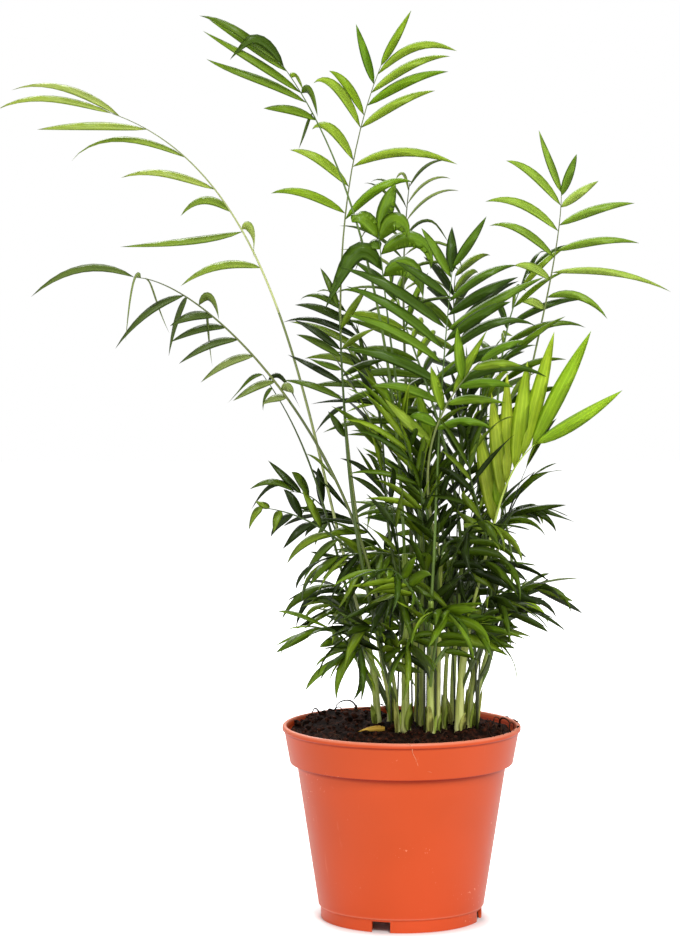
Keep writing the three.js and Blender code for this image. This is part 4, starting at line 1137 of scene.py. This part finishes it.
BRACT_LENGTHS, BRACT_SUNK, BRACT_WIDTH = (14, 30), 1.5, 1.9
HUSK_ENDS, HUSK_LIFTS = ((-12, -12), (-31, -20)), (3.4, 1.5)
HUSK_BULGE, HUSK_RADII = 1.4, (2.2, 1.9)
HUSK_SIDES, HUSK_STEPS = 14, 20


def sheath_skin(name, tint, dark, spotting):
    """A papery sheath with fine lengthwise lines and a few dark spots."""
    material = new_material(name, Roughness=0.6, Specular_IOR_Level=0.25)
    lines = speckle(material, "UV", 1, stretch=(12, 1, 1), Detail=4)
    spots = speckle(material, "Object", 330, Detail=3)
    tone = shaded(material, tint, 0.6, lines, (0.34, (150, 140, 90)), (0.64, 1))
    tone = blend(material, "MIX", ramp(material, spots, (0.56, 0), (0.66, spotting)), tone, dark)
    coat(material, tone, (lines, 0.3, 0.8))
    return material


bract_play = seeded(77)
bracts = []
for stem, (foot, tip, radius) in STEMS.items():
    for turn in (230 + 80 * next(bract_play), 40 + 100 * next(bract_play)):
        outward = direction(90, turn)
        root = np.array([*foot, SOIL_TOP - BRACT_SUNK]) + outward * radius * STEM_FLARE * 1.02
        bracts.append(blade_points(dict(
            root=root, way=direction(6, turn), wide=np.cross((0, 0, 1), outward), bend=outward * 0.1,
            length=mix(*BRACT_LENGTHS, next(bract_play)), width=radius * BRACT_WIDTH, curl=0, twist=0)))
bract_skins = [
    sheath_skin("pale_bract", (214, 220, 116), (150, 140, 70), 0.3),
    sheath_skin("green_bract", (176, 200, 80), (110, 120, 46), 0.3),
]
bract_piece = join_blades("clasping_bracts", bracts, bract_skins, bract_play)
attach(bract_piece, "root")

husk_line = [np.array([x, y, peat_top(x, y) + lift]) for (x, y), lift in zip(HUSK_ENDS, HUSK_LIFTS)]
husk_line.insert(1, (husk_line[0] + husk_line[1]) / 2 + (0, -HUSK_BULGE, HUSK_BULGE))


def husk_place(turn, share):
    """The rolled husk: blunt and torn where it left the stem, drawn out to a point at its end."""
    fullness = (1 - share ** 2.6) * min(1, 0.55 + 2 * share) + 0.04
    fold = 1 + 0.14 * math.cos(3 * turn + 4 * share)
    across = HUSK_RADII[0] * fullness * fold * math.sin(turn)
    return curve_point(husk_line, share) + (0, HUSK_RADII[1] * fullness * fold * math.cos(turn), across)


husk_shape = new_tubes()
add_tube(husk_shape, HUSK_SIDES, HUSK_STEPS, husk_place)
husk_skin = sheath_skin("dry_yellow_husk", (222, 178, 70), (110, 66, 24), 0.8)
husk = new_piece("dropped_husk", husk_shape, husk_skin)
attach(husk, "root")
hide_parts("dry_sheath")

# ---------------------------------------------------------------- root threads
# Dead roots, dark and wiry, that curl up out of the peat, most of them along the pot's rim, and
# one pale hair root that dried on the collar.

THREADS, THREAD_RADII, THREAD_SIDES, THREAD_STEPS = 38, (0.32, 0.9), 5, 12
THREAD_REACH, THREAD_LIFT, THREAD_STRAY = 18, 7, 7
HAIR_ANGLES, HAIR_HEIGHTS, HAIR_RADIUS = (-88, -81), (139.6, 118), 0.22
HAIR_POINTS, HAIR_SWAY, HAIR_WAVES, HAIR_OFF, HAIR_CLEAR = 8, 5, 14, 0.15, 0.3

thread_play = seeded(1913)


def add_thread(shape, controls, radius):
    """A thin round thread along a curve."""
    def place(turn, share):
        ahead = curve_ahead(controls, share)
        across = unit(np.cross(ahead, (0.3, 0.2, 1)))
        over = np.cross(across, ahead)
        thick = radius * (1 - 0.6 * share)
        return curve_point(controls, share) + thick * (math.cos(turn) * across + math.sin(turn) * over)

    add_tube(shape, THREAD_SIDES, THREAD_STEPS, place)


thread_shape = new_tubes()
for _ in range(THREADS):
    turn = 360 * next(thread_play)
    start = direction(90, turn) * peat_radius * mix(0.8, 0.99, next(thread_play))
    along = direction(90, turn + mix(60, 120, next(thread_play)) * (1 if next(thread_play) < 0.5 else -1))
    reach = THREAD_REACH * mix(0.5, 1, next(thread_play))
    lift = THREAD_LIFT * mix(0.3, 1, next(thread_play))
    foot = np.array([start[0], start[1], peat_top(start[0], start[1]) - 1])
    end = foot + along * reach * 0.9 + (0, 0, lift * 0.5)
    inward = math.hypot(end[0], end[1]) / (peat_radius - 1)
    end[:2] /= max(1, inward)
    middle = (foot + end) / 2
    stray = THREAD_STRAY * np.array([swing(thread_play), swing(thread_play), 0])
    stray[:2] -= start[:2] * 0.04
    bow = middle - 0.5 * stray + along * 0.3 * reach + (0, 0, lift)
    course = [foot, middle + stray + (0, 0, 2 * lift), bow, end]
    add_thread(thread_shape, course, mix(*THREAD_RADII, next(thread_play) ** 2))
wiry = grained("wiry_dark_root", 0.8, 0.15, (500, 3), (0.4, (26, 16, 12)), (0.7, (70, 46, 30)), 0.2)
threads = new_piece("root_threads", thread_shape, wiry)

hair = []
for share in np.linspace(0, 1, HAIR_POINTS):
    height = mix(*HAIR_HEIGHTS, share)
    radius = mix(COLLAR_TOP_RADIUS, COLLAR_FOOT_RADIUS, (POT_HEIGHT - height) / COLLAR_HEIGHT)
    turn = math.radians(mix(*HAIR_ANGLES, share) + HAIR_SWAY * math.sin(HAIR_WAVES * share))
    lip = (LIP_RADIUS - COLLAR_TOP_RADIUS + HAIR_CLEAR) * (1 - share) ** 2
    radius = radius + lip + HAIR_OFF
    hair.append((radius * math.cos(turn), radius * math.sin(turn), height))
hair_shape = new_tubes()
add_thread(hair_shape, hair, HAIR_RADIUS)
pale = grained("pale_dry_hair_root", 0.7, 0.2, (400, 2), (0.4, (214, 130, 92)), (0.6, (240, 190, 150)))
hair_root = new_piece("hair_root", hair_shape, pale)
for piece in (threads, hair_root):
    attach(piece, "root")

# ---------------------------------------------------------------- camera, light and floor
# Not part of the plant: a camera, five soft lamps, a bright room and a pale floor. The floor
# glows faintly for the camera, so that it stays pale in every view, but the glow fades out
# round the pot, which paints a soft shadow under it.

CAMERA_PLACE, CAMERA_DIP = (-0.044, -2.3, 0.515), 4.8
FOCAL_PIXELS, FRAME_HEIGHT = 3246, 939
ROOM_LIGHT = 0.3

camera = put_in_scene("camera", bpy.data.cameras.new("camera"))
camera.data.sensor_width = 36
camera.data.lens = FOCAL_PIXELS * camera.data.sensor_width / FRAME_HEIGHT
camera.location = CAMERA_PLACE
camera.rotation_euler = (math.radians(90 - CAMERA_DIP), 0, 0)
bpy.context.scene.camera = camera

for name, place, aim, size, power in (
    ("key_light", (0.5, -1.75, 1.7), (0, 0, 0.3), 0.8, 40),
    ("low_light", (-0.1, -2.1, 0.3), (0, 0, 0.2), 0.6, 6),
    ("left_light", (-1.9, -0.3, 0.8), (0, 0, 0.25), 1.1, 5),
    ("right_light", (1.9, 0.1, 1.0), (0, 0, 0.3), 1.1, 3),
    ("back_light", (-0.3, 1.4, 1.6), (0, 0, 0.4), 1.2, 36),
):
    lamp = bpy.data.lights.new(name, "AREA")
    lamp.size = size
    lamp.energy = power
    holder = put_in_scene(name, lamp)
    holder.location = place
    holder.rotation_euler = (Vector(aim) - Vector(place)).to_track_quat("-Z", "Y").to_euler()

room = bpy.data.worlds.new("room")
room.use_nodes = True
seen = add_node(room, "LightPath", {}).outputs["Is Camera Ray"]
level = add_node(room, "MapRange", {"Value": seen, "To Min": ROOM_LIGHT, "To Max": 1})
feed(room, room.node_tree.nodes["Background"], {"Color": colour(1), "Strength": level.outputs["Result"]})
bpy.context.scene.world = room
bpy.context.scene.view_settings.view_transform = "Standard"

FLOOR_GLOW, POT_SHADE, SHADE_SHARE, FLOOR_SIZE = 0.85, 0.08, 0.27, 4000
floor_shape = bmesh.new()
bmesh.ops.create_grid(floor_shape, x_segments=1, y_segments=1, size=FLOOR_SIZE)
floor_paint = new_material("pale_floor", Base_Color=colour(0.9), Roughness=0.9)
ground = coordinates(floor_paint, "Object")
around = add_node(floor_paint, "Mapping", {"Vector": ground, "Scale": (1 / POT_SHADE,) * 3})
around = around.outputs["Vector"]
near_pot = add_node(floor_paint, "TexGradient", {"Vector": around}, gradient_type="SPHERICAL")
# The glow fades to nothing near the pot's foot: a painted shadow.
glow = add_node(
    floor_paint, "MapRange",
    {"Value": near_pot.outputs["Fac"], "From Max": SHADE_SHARE, "To Min": FLOOR_GLOW, "To Max": 0})
camera_ray = add_node(floor_paint, "LightPath", {}).outputs["Is Camera Ray"]
shown = add_node(floor_paint, "Math", {0: glow.outputs["Result"], 1: camera_ray}, operation="MULTIPLY")
feed_shader(floor_paint, {"Emission Color": colour(1), "Emission Strength": shown.outputs["Value"]})
floor = new_piece("floor", floor_shape, floor_paint)
